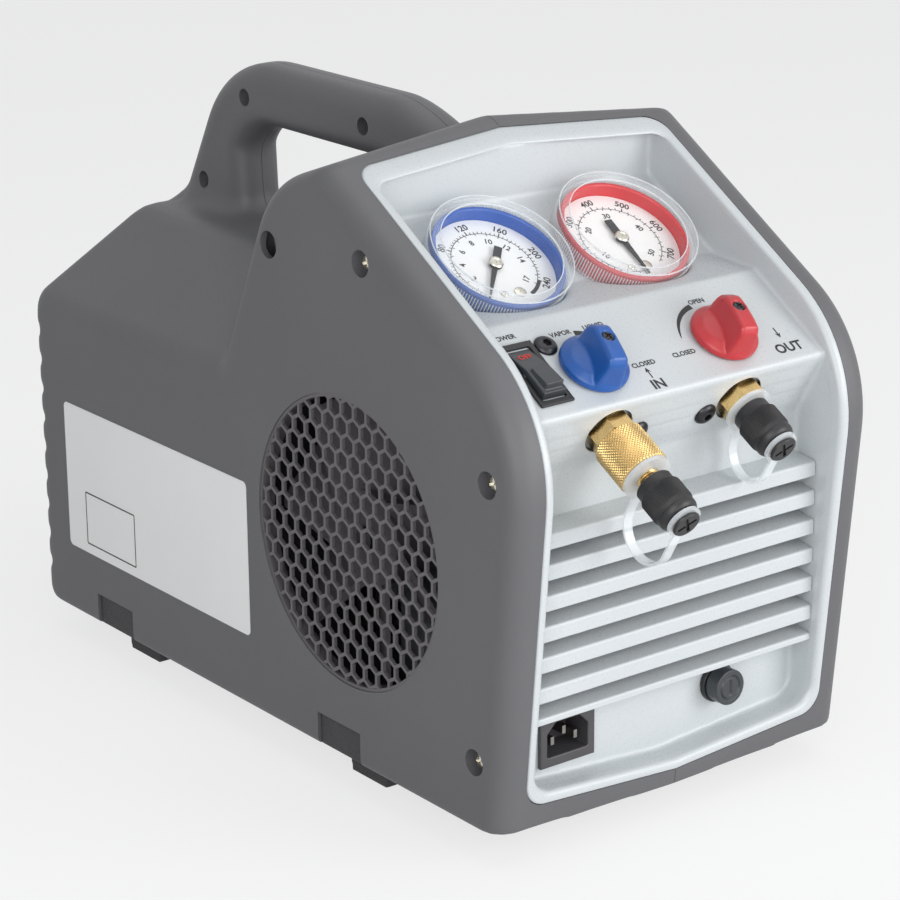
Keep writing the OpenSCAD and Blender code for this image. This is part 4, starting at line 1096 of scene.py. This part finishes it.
def ring_tree(name, material):
    """A tree that repeats the object's own mesh round the z axis."""
    tree = bpy.data.node_groups.new(name, "GeometryNodeTree")
    group_input(tree, "Geometry", "NodeSocketGeometry")
    group_input(tree, "Count", "NodeSocketInt", 2)
    group_input(tree, "Start", "NodeSocketFloat", 0.0)
    group_input(tree, "Step", "NodeSocketFloat", 0.1)
    tree.interface.new_socket("Geometry", in_out="OUTPUT", socket_type="NodeSocketGeometry")
    take = tree.nodes.new("NodeGroupInput")
    give = tree.nodes.new("NodeGroupOutput")
    points = tree.nodes.new("GeometryNodeMeshLine")
    points.inputs["Offset"].default_value = (0, 0, 0)
    index = tree.nodes.new("GeometryNodeInputIndex")
    angle = tree.nodes.new("ShaderNodeMath")
    angle.operation = "MULTIPLY_ADD"
    turn_by = tree.nodes.new("ShaderNodeCombineXYZ")
    to_turn = tree.nodes.new("FunctionNodeEulerToRotation")
    set_out = tree.nodes.new("GeometryNodeInstanceOnPoints")
    real = tree.nodes.new("GeometryNodeRealizeInstances")
    paint_node = tree.nodes.new("GeometryNodeSetMaterial")
    paint_node.inputs["Material"].default_value = material
    tree.links.new(take.outputs["Count"], points.inputs["Count"])
    tree.links.new(index.outputs[0], angle.inputs[0])
    tree.links.new(take.outputs["Step"], angle.inputs[1])
    tree.links.new(take.outputs["Start"], angle.inputs[2])
    tree.links.new(angle.outputs[0], turn_by.inputs["Z"])
    tree.links.new(turn_by.outputs[0], to_turn.inputs[0])
    tree.links.new(points.outputs[0], set_out.inputs["Points"])
    tree.links.new(take.outputs["Geometry"], set_out.inputs["Instance"])
    tree.links.new(to_turn.outputs[0], set_out.inputs["Rotation"])
    tree.links.new(set_out.outputs[0], real.inputs[0])
    tree.links.new(real.outputs[0], paint_node.inputs["Geometry"])
    tree.links.new(paint_node.outputs[0], give.inputs[0])
    return tree


ring_trees = {}


def round_ring(points, faces, count, where, start=0.0, step=None):
    """A small shape repeated round the local z axis; angles in degrees, counted clockwise as on a dial."""
    mesh = bpy.data.meshes.new("ring")
    mesh.from_pydata([tuple(p) for p in points], [], [tuple(f) for f in faces])
    obj = bpy.data.objects.new("ring", mesh)
    scene.collection.objects.link(obj)
    if "ring" not in ring_trees:
        ring_trees["ring"] = ring_tree("ring_of_copies", ink_black)
    step = 360 / count if step is None else step
    values = {"Count": count, "Start": -math.radians(start), "Step": -math.radians(step)}
    run_tree(ring_trees["ring"], obj, values)
    obj.data.transform(TO_PART @ where)
    return obj


def lettering(words, height, where, bold=0.0):
    """Thin solid print, centred in a local frame; height is that of a capital."""
    curve = bpy.data.curves.new("words", "FONT")
    curve.body = words
    curve.size = height / CAP_SHARE
    curve.align_x = "CENTER"
    curve.align_y = "CENTER"
    curve.extrude = print_t / 2
    curve.offset = bold
    curve.resolution_u = 3
    holder = bpy.data.objects.new("words", curve)
    scene.collection.objects.link(holder)
    graph = bpy.context.evaluated_depsgraph_get()
    mesh = bpy.data.meshes.new_from_object(holder.evaluated_get(graph))
    mesh.transform(TO_PART @ where)
    bpy.data.objects.remove(holder)
    obj = bpy.data.objects.new("print", mesh)
    scene.collection.objects.link(obj)
    return obj


def flat(name, outline, where, thick=print_t):
    """A thin flat shape in a local frame."""
    return outward(new_object(name, *prism(outline, 0, thick), where))


def turned_piece(name, profile, where, steps=96):
    """A closed (radius, height) outline turned about the local z."""
    return outward(new_object(name, *revolve(profile, steps), where))


def arc_band(r_in, r_out, start, end):
    """Outline of a band between two radii, from start to end clockwise from twelve o'clock."""
    n = max(2, round(abs(end - start) / 3))
    turns = [math.radians(start + (end - start) * i / n) for i in range(n + 1)]
    outer = [(r_out * math.sin(a), r_out * math.cos(a)) for a in turns]
    return outer + [(r_in * math.sin(a), r_in * math.cos(a)) for a in turns[::-1]]


print("ring tree and lettering ready")

# %% [markdown]
# ## Gauges
# Each gauge is a coloured cup with a white dial, a pointer that turns on its own body, and a clear cover
# with a ribbed skirt and a double rim. The pressure scale runs clockwise outside, in pounds per square
# inch, and the smaller bar scale inside. Both come from one number per gauge: degrees per unit.

# %% Cups, covers and scales
gauge_h = 15
case_r = gauge_d / 2 - 2.3
dial_r = 31
dial_top = 3.0
scale_r = 21.6
number_r = 26.3
inner_r = 16.4
BAR = 14.504


def readable(angle):
    """Turn of a number that stands on a round scale, kept upright in the lower half."""
    return -angle if abs(angle) < 100 else 180 - angle


def scale_print(x, first, per_psi, top_psi, outer, inner, minor, bar_minor):
    """Ticks and numbers of one dial as a list of objects."""
    face = on_floor(x) @ moved(0, 0, dial_top + 0.02)
    line = arc_band(scale_r - 0.15, scale_r + 0.15, first, first + per_psi * top_psi)
    found = [flat("scale_line", line, face)]
    ticks = ((minor, 0.34, 1.3, 1), (outer[1] - outer[0], 0.55, 2.3, 1), (bar_minor * BAR, 0.34, 1.3, -1))
    for unit_step, width, length, side in ticks:
        step = unit_step * per_psi
        count = int(top_psi / unit_step + 1e-6) + 1
        mark = prism([(-width / 2, scale_r), (width / 2, scale_r), (width / 2, scale_r + side * length),
                      (-width / 2, scale_r + side * length)], 0, print_t)
        found.append(round_ring(*mark, count, face, first, step))
    for values, unit_size, radius, height in ((outer, 1, number_r, 3.7), (inner, BAR, inner_r, 3.2)):
        for value in values:
            angle = first + per_psi * value * unit_size
            a = math.radians(angle)
            spot = moved(radius * math.sin(a), radius * math.cos(a), 0) @ turned(z=readable(angle))
            found.append(lettering(str(value), height, face @ spot, 0.08))
    return found


def gauge(tag, x, paint, first, per_psi, top_psi, outer, inner, minor, bar_minor):
    where = on_floor(x)
    cup = turned_piece(tag + "_gauge_cup", [(4, 0), (case_r, 0), (case_r, 9.2), (case_r - 0.5, 9.8),
                                            (dial_r + 0.7, 9.8), (dial_r + 0.2, 9.2), (dial_r + 0.2, 2.0),
                                            (4, 2.0)], where, 128)
    finish_piece(shade(cup), paint, ROOT, [tag + "_gauge_case"])
    marks = scale_print(x, first, per_psi, top_psi, outer, inner, minor, bar_minor)
    finish_piece(joined(tag + "_dial_print", marks), ink_black)
    r = gauge_d / 2
    ring_profile = [(case_r + 0.2, 0.2), (r - 0.5, 0.2), (r - 0.5, 9.4), (r - 0.1, 10.0), (r - 0.1, 11.4),
                    (r + 0.6, 12.0), (r + 0.8, 13.2), (r + 0.3, 14.4), (r - 0.7, gauge_h), (r - 3.0, 14.8),
                    (dial_r - 0.6, 14.0), (dial_r - 0.6, 13.2), (case_r + 0.2, 13.0)]
    cover = turned_piece(tag + "_cover_rim", ring_profile, where, 160)
    # Thin rings on the cover's two lips in the whiter, less clear finish: a painted highlight along the rim's
    # edges.
    edges = []
    for edge_r, low in ((r + 0.2, 14.3), (dial_r - 0.3, 14.1)):
        ring = [(edge_r - 0.45, low), (edge_r + 0.1, low), (edge_r, low + 0.55), (edge_r - 0.4, low + 0.55)]
        edges.append(turned_piece("edge", ring, where, 160))
    finish_piece(shade(joined(tag + "_cover_edge_highlights", edges)), clear_strap_and_highlight, ROOT, [tag + "_gauge_cover"])
    rib = prism([(-0.28, r - 0.6), (0.28, r - 0.6), (0.2, r - 0.12), (-0.2, r - 0.12)], 0.4, 9.2)
    ribs = round_ring(*rib, 150, where)
    ribs.name = tag + "_cover_ribs"
    finish_piece(shade(cover), clear_plastic, ROOT, [tag + "_gauge_cover"])
    finish_piece(shade(ribs), clear_strap_and_highlight, ROOT, [tag + "_gauge_cover"])
    lens = disc(tag + "_gauge_lens", dial_r - 0.65, 13.3, 13.8, where)
    finish_piece(shade(outward(lens)), clear_lens, ROOT, [tag + "_gauge_cover"])
    hub_profile = [(0.3, 4.2), (3.6, 4.2), (3.6, 5.7), (3.1, 6.2), (2.2, 6.2), (1.9, 5.8), (0.3, 5.8)]
    hub = turned_piece(tag + "_pointer_hub", hub_profile, where, 48)
    finish_piece(shade(hub), bright_steel, tag + "_pointer")
    for angle, size in ((171, 3.0), (198, 1.8)):
        a = math.radians(angle)
        spot = where @ moved(18.8 * math.sin(a), 18.8 * math.cos(a), dial_top)
        head = [(0.2, 0), (size, 0), (size, 0.5), (size * 0.7, 0.9), (0.2, 1.0)]
        screw = turned_piece("dial_screw", head, spot, 32)
        slot = new_object("slot", *box_points((-size, -0.25, 0.6), (size, 0.25, 2)), spot @ turned(z=35))
        combine(screw, outward(slot), "DIFFERENCE")
        screw.name = tag + "_dial_screw_" + str(angle)
        finish_piece(shade(screw), bright_steel)


gauge("blue", -gauge_x, cup_blue, -140, 1.12, 250, range(40, 241, 40), (2, 4, 6, 8, 10, 12, 14, 17), 5, 1)
gauge("red", gauge_x, cup_red, -180, 0.4345, 750, range(100, 701, 100), (10, 20, 30, 40, 50), 20, 2)
end_band = arc_band(scale_r - 0.2, scale_r + 1.7, 128, 158)
scale_end = flat("blue_scale_end", end_band, on_floor(-gauge_x) @ moved(0, 0, dial_top + 0.03))
finish_piece(scale_end, ink_black)

# %% [markdown]
# ## Moulded and turned fittings
# Small mouldings start from their CAD solid, so they fit by themselves: a copy gets a fine voxel skin and a
# few rounds of averaging, which gives every edge the soft radius of a mould. Switch, inlet, fuse and feet
# are made this way. The knobs are drawn anew, as a turned dome and a lofted bar, and softened alike.

# %% Soft copies of CAD solids
rocker_at = (-71.5, 27)
rocker_tilt = -8


def soften(node, name, voxel, rounds, material, body=ROOT, add=None):
    """A CAD solid with rounded edges; add is joined to it before the skin is drawn."""
    obj = bpy.data.objects.new(name, frame["nodes"][node].data.copy())
    scene.collection.objects.link(obj)
    outward(obj)
    if add:
        combine(obj, add, "UNION")
    voxel_skin(obj, voxel)
    relax(obj, rounds)
    return finish_piece(shade(obj, 60), material, body, [node])


soften("switch_frame", "switch_bezel", 0.4, 2, black_plastic)
on_rocker = on_console(*rocker_at) @ turned(x=rocker_tilt)
paddle = outward(new_object("paddle", *box_points((-5, -13.2, 0), (5, -1.0, 6.2)), on_rocker))
soften("rocker", "switch_rocker", 0.35, 4, case_plastic, "power_rocker", paddle)
soften("power_inlet", "inlet_moulding", 0.4, 2, inlet_grey)
soften("fuse_holder", "fuse_ring", 0.35, 3, black_plastic)
soften("fuse_carrier", "fuse_plug_head", 0.35, 3, case_plastic, "fuse_plug")
for side in ("left", "right"):
    for end in ("front", "rear"):
        node = end + "_" + side + "_foot"
        soften(node, node + "_rubber", 0.8, 2, foot_rubber)

# %% Valve knobs
knob_s = 24
knob_r = 17
knob_rest = -12
knob_top = 21.2
stem_r = 4
stem_top = 11.6
bar_rows = ((12.6, 12.5, 3.8, 5.2), (10.8, 17.0, 4.4, 6.4), (6.5, 20.3, 4.7, 7.0), (0, knob_top, 4.8, 7.2),
            (-9, knob_top, 4.9, 7.2), (-14, 20.6, 4.9, 7.0), (-16.2, 17.6, 4.6, 6.2))
dome = [(stem_r + 0.1, 0.6), (knob_r - 0.4, 0.6), (knob_r, 1.0), (knob_r, 3.8), (knob_r - 1.2, 4.9),
        (knob_r - 4, 7.3), (8, 9.2), (stem_r + 0.1, 9.6)]


def knob(tag, x, paint):
    """A domed skirt with a broad grip bar, whose top falls away at both ends."""
    where = on_console(x, knob_s) @ turned(z=knob_rest)
    body = turned_piece(tag + "_knob_moulding", dome, where)
    rows = []
    for y, top, half, foot in bar_rows:
        left = [(-foot, y, 4), (-foot, y, 6), (-half, y, top - 1.4), (1.4 - half, y, top)]
        rows.append(left + [(-p[0], p[1], p[2]) for p in left[::-1]])
    combine(body, outward(new_object("bar", *loft(rows), where)), "UNION")
    combine(body, outward(disc("bore", stem_r + 0.1, -1, stem_top, where, 48)), "DIFFERENCE")
    combine(body, outward(disc("recess", 3.3, knob_top - 1.6, knob_top + 5, where, 48)), "DIFFERENCE")
    voxel_skin(body, 0.45)
    relax(body, 9)
    finish_piece(shade(body, 60), paint, tag + "_valve", [tag + "_knob"])


knob("inlet", -valve_x, blue_plastic)
knob("outlet", valve_x, red_plastic)

# %% Screws
case_screw_depth = 3.1
panel_head_r = 5.8


def cross_screw(r, high, where, cross):
    """A domed screw head with a cross recess; it stands on the local plane."""
    turns = [math.radians(a) for a in range(0, 86, 17)]
    dome = [(r * math.cos(a), high * (0.35 + 0.65 * math.sin(a))) for a in turns]
    head = turned_piece("head", [(0.15, 0), (r, 0)] + dome + [(0.15, high)], where, 48)
    for a in (0, 90):
        slit = box_points((-cross, -cross * 0.22, high * 0.35), (cross, cross * 0.22, high + 1))
        bar = new_object("bar", *slit, where @ turned(z=a + 20))
        combine(head, outward(bar), "DIFFERENCE")
    return head


def socket_screw(where):
    """A low black button head with a hexagon socket."""
    r = panel_head_r
    button = [(0.1, 0), (r, 0), (r, 0.6), (r * 0.93, 1.3), (r * 0.78, 2.1), (r * 0.55, 2.7), (0.1, 2.8)]
    head = turned_piece("head", button, where, 64)
    return combine(head, outward(disc("socket", 2.3, 0.9, 4, where, 6)), "DIFFERENCE")


for tag, x in (("inlet", -valve_x), ("outlet", valve_x)):
    stand = on_console(x, knob_s) @ moved(0, 0, knob_top - 1.7)
    screw = cross_screw(2.9, 1.3, stand, 1.9)
    screw.name = tag + "_knob_screw"
    finish_piece(shade(screw), black_steel, tag + "_valve")
heads = [cross_screw(4.4, 2.6, from_left(*p) @ moved(0, 0, case_screw_depth + 2.6) @ turned(x=180), 2.9)
         for p in screw_places]
finish_piece(shade(joined("case_screw_heads", heads)), bright_steel, ROOT, ["case_screws"])
heads = [socket_screw(where) for where in (on_console(-55.5, 41.5), on_under(-21, 22), on_under(21, 22))]
finish_piece(shade(joined("panel_screw_heads", heads)), black_steel, ROOT, ["panel_screws"])

# %% [markdown]
# ## Ports
# Each port is a brass hexagon with a threaded nipple, turned from bar. The inlet carries a sleeve with a
# diamond knurl: two families of grooves cross, and what stands between them is a height over angle and
# length. The black caps have fine straight ribs that come from the same kind of formula.

# %% Hexagons, nipples and the knurled sleeve
hex_d = 23
hex_h = 7
nipple_r = 5.55
thread_pitch = 1.25
sleeve_r = 12.6
sleeve_len = 22
cap_len = 23
cap_r = 10.5
eye_t = 2.2
eye_neck_r = 4
button_r = 7
button_t = 1.8
reach = {"inlet": 62.0, "outlet": 36.3}
knurls = 46
knurl_depth = 0.5
PER_KNURL = 6


def hexagon(where):
    """A hexagon bar end with the turned chamfer that leaves curved edges on its flats."""
    body = outward(disc("hex", hex_d / 2, -tray_wall, hex_h, where, 6))
    cone = turned_piece("chamfer", [(0.05, -tray_wall - 1), (hex_d, -tray_wall - 1), (hex_d, hex_h - 6.2),
                                    (hex_d / 2 - 1.6, hex_h + 0.1), (0.05, hex_h + 0.1)], where, 96)
    return combine(body, cone, "INTERSECT")


def nipple(low, high, where):
    """A threaded tube end; the thread is a row of rings."""
    turns = int((high - low - 2) / thread_pitch)
    profile = [(2.6, low), (nipple_r - 0.5, low)]
    for i in range(turns):
        z = low + 1 + i * thread_pitch
        profile.append((nipple_r - 0.5, z))
        profile += [(nipple_r, z + share * thread_pitch) for share in (0.45, 0.55)]
    profile += [(nipple_r - 0.5, high - 0.8), (nipple_r - 0.9, high), (2.6, high)]
    return turned_piece("nipple", profile, where, 64)


def knurl(turn, along):
    """Height of a crossed knurl, 0 in a groove and 1 on a flat top; both arguments count knurls."""
    first, second = ((0.5 - abs((turn + side * along) % 1 - 0.5)) * 2 for side in (1, -1))
    return min(1, min(first, second) / 0.6)


def formed_ring(name, steps, where, profile_at):
    """A turned piece whose outline changes with the angle."""
    rows = []
    for i in range(steps):
        a = 2 * math.pi * i / steps
        rows.append([(r * math.cos(a), r * math.sin(a), z) for r, z in profile_at(i / steps)])
    return outward(new_object(name, *loft(rows, closed=True), where))


def sleeve_outline(share):
    size = 2 * math.pi * sleeve_r / knurls
    n = round(sleeve_len / size * PER_KNURL)
    side = []
    for j in range(1, n):
        z = sleeve_len * j / n
        bevel = max(0, 0.8 - min(z, sleeve_len - z))
        side.append((sleeve_r - bevel - knurl_depth * (1 - knurl(share * knurls, z / size)), z))
    inner = nipple_r + 0.1
    return [(inner, 0), (sleeve_r - 1.4, 0)] + side + [(sleeve_r - 1.4, sleeve_len), (inner, sleeve_len)]


for tag, x in (("inlet", -valve_x), ("outlet", valve_x)):
    where = on_under(x, port_t)
    end = reach[tag] - eye_t - button_t - 8
    port = joined(tag + "_port_brass", [hexagon(where), nipple(hex_h, end, where)])
    finish_piece(shade(port), brass, ROOT, [tag + "_port"])
sleeve_frame = on_under(-valve_x, port_t) @ moved(0, 0, hex_h)
sleeve = formed_ring("inlet_filter_sleeve", knurls * PER_KNURL, sleeve_frame, sleeve_outline)
finish_piece(shade(sleeve, 25), brass, ROOT, ["inlet_filter"])

# %% Caps
cap_ribs = 64
rib_depth = 0.35
collar_len = 5
PER_RIB = 4


def cap_outline(share):
    """A cap's outline at one angle: smooth collar, ribbed grip, shoulder, neck and button."""
    rib = rib_depth * (0.5 + 0.5 * math.cos(2 * math.pi * share * cap_ribs))
    grip = cap_r - rib_depth + rib
    top = cap_len + eye_t
    inner = nipple_r + gap
    collar_side = [(8.6, 0), (9.2, 0.7), (9.2, collar_len - 0.6), (9.5, collar_len)]
    grip_side = [(grip - 0.5, collar_len + 0.5), (grip, collar_len + 1.2), (grip, 15.6), (grip - 0.3, 16.6)]
    shoulder = [(9.7, 17.6), (9.5, 18.6), (9.9, 19.0), (9.8, 20.0), (9.0, 21.8), (7.8, 22.8), (6.8, cap_len)]
    button = [(eye_neck_r, cap_len), (eye_neck_r, top), (button_r - 0.5, top), (button_r, top + 0.5),
              (button_r, top + 1.2), (button_r - 0.5, top + button_t), (0.1, top + button_t)]
    bore = [(0.1, cap_len - 6), (inner, cap_len - 6)]
    return [(inner, 0), *collar_side, *grip_side, *shoulder, *button, *bore]


for tag, x in (("inlet", -valve_x), ("outlet", valve_x)):
    where = on_under(x, port_t) @ moved(0, 0, reach[tag] - cap_len - eye_t - button_t)
    cap = formed_ring(tag + "_cap_moulding", cap_ribs * PER_RIB, where, cap_outline)
    for a in (30, 120):
        slot = new_object("slot", *box_points((-5, -0.8, cap_len + eye_t + 0.7), (5, 0.8, cap_len + 9)),
                          where @ turned(z=a))
        combine(cap, outward(slot), "DIFFERENCE")
    finish_piece(shade(cap, 40), black_plastic, tag + "_sealing_cap", [tag + "_cap"])

# %% [markdown]
# ## Print and label
# Only plain function words are printed: they say which way a valve opens and where the refrigerant goes in
# and out. The label on the left flank is a bare plate with one empty frame.

# %% Console print
print_h = 0.08
small_word = 2.7
large_word = 5.6


def console_word(words, x, s, height):
    return lettering(words, height, on_console(x, s) @ moved(0, 0, print_h), 0.035 * height)


def tapered_arc(x, start, end, r_in=20.0, r_out=23.0):
    """A band round a knob that runs to a point, from start to end in degrees clockwise."""
    n = 24
    turns = [math.radians(start + (end - start) * i / n) for i in range(n + 1)]
    width = [(r_out - r_in) * (1 - i / n) ** 0.6 for i in range(n)]
    outer = [(r_out * math.sin(a), r_out * math.cos(a)) for a in turns]
    inner = [((r_out - w) * math.sin(a), (r_out - w) * math.cos(a)) for a, w in zip(turns, width)]
    return flat("arc", outer + inner[::-1], on_console(x, knob_s) @ moved(0, 0, print_h))


def arrow(x, s, turn, tip=6.5):
    """A thin arrow from its foot, along the local y before it is turned."""
    outline = [(-0.3, 0), (0.3, 0), (0.3, tip - 2.2), (1.5, tip - 3.0), (0, tip), (-1.5, tip - 3.0),
               (-0.3, tip - 2.2)]
    return flat("arrow", outline, on_console(x, s) @ moved(0, 0, print_h) @ turned(z=turn))


words = [console_word(*w) for w in (
    ("POWER", -73.2, 51.1, small_word), ("VAPOR", -43.2, 46.6, small_word),
    ("LIQUID", -23.5, 46.8, small_word), ("CLOSED", -12.8, 19.0, small_word),
    ("OPEN", 41.0, 47.4, small_word), ("CLOSED", 12.5, 19.5, small_word),
    ("IN", -13.0, 5.9, large_word), ("OUT", 71.0, 8.6, large_word))]
words += [tapered_arc(valve_x, -11, -80), tapered_arc(-valve_x, 11, 58)]
words += [arrow(-13.6, 10.2, 0), arrow(70.8, 21.8, 180)]
finish_piece(joined("console_print", words), ink_black)
upper_face = on_rocker @ moved(0, 9.2, 3.33) @ turned(x=-6.84) @ moved(0, 0, print_h)
off_word = lettering("OFF", 3.2, upper_face, 0.06)
off_word.name = "switch_print"
finish_piece(off_word, ink_red, "power_rocker")

# %% Label plate
label_low = (198.5, 38.7)
label_high = (374.5, 120.8)
label_t = 0.25
label_round = 3
box_low = (306, 44)
box_high = (356, 74)


def plate_outline(low, high, t, r):
    """A rectangle drawn in by t, as seen from the left: local x runs down and y to the back."""
    near, far = low[0] + t, high[0] - t
    foot, top = low[1] + t, high[1] - t
    corners = [(near, foot), (far, foot), (far, top), (near, top)]
    return [(-z, y) for y, z in rounded(corners, [r] * 4)]


plate_frame = from_left(0, 0)
plate_edge = plate_outline(label_low, label_high, 0, label_round)
plate = outward(new_object("flank_label", *prism(plate_edge, -label_t, 0.3), plate_frame))
finish_piece(plate, label_white)
outer = plate_outline(box_low, box_high, 0, 1)
inner = plate_outline(box_low, box_high, 0.8, 0.4)
box = outward(new_object("label_box", *prism(outer, -label_t - 0.05, -label_t + 0.02), plate_frame))
hole = outward(new_object("hole", *prism(inner, -label_t - 1, -label_t + 1), plate_frame))
finish_piece(combine(box, hole, "DIFFERENCE"), ink_black)
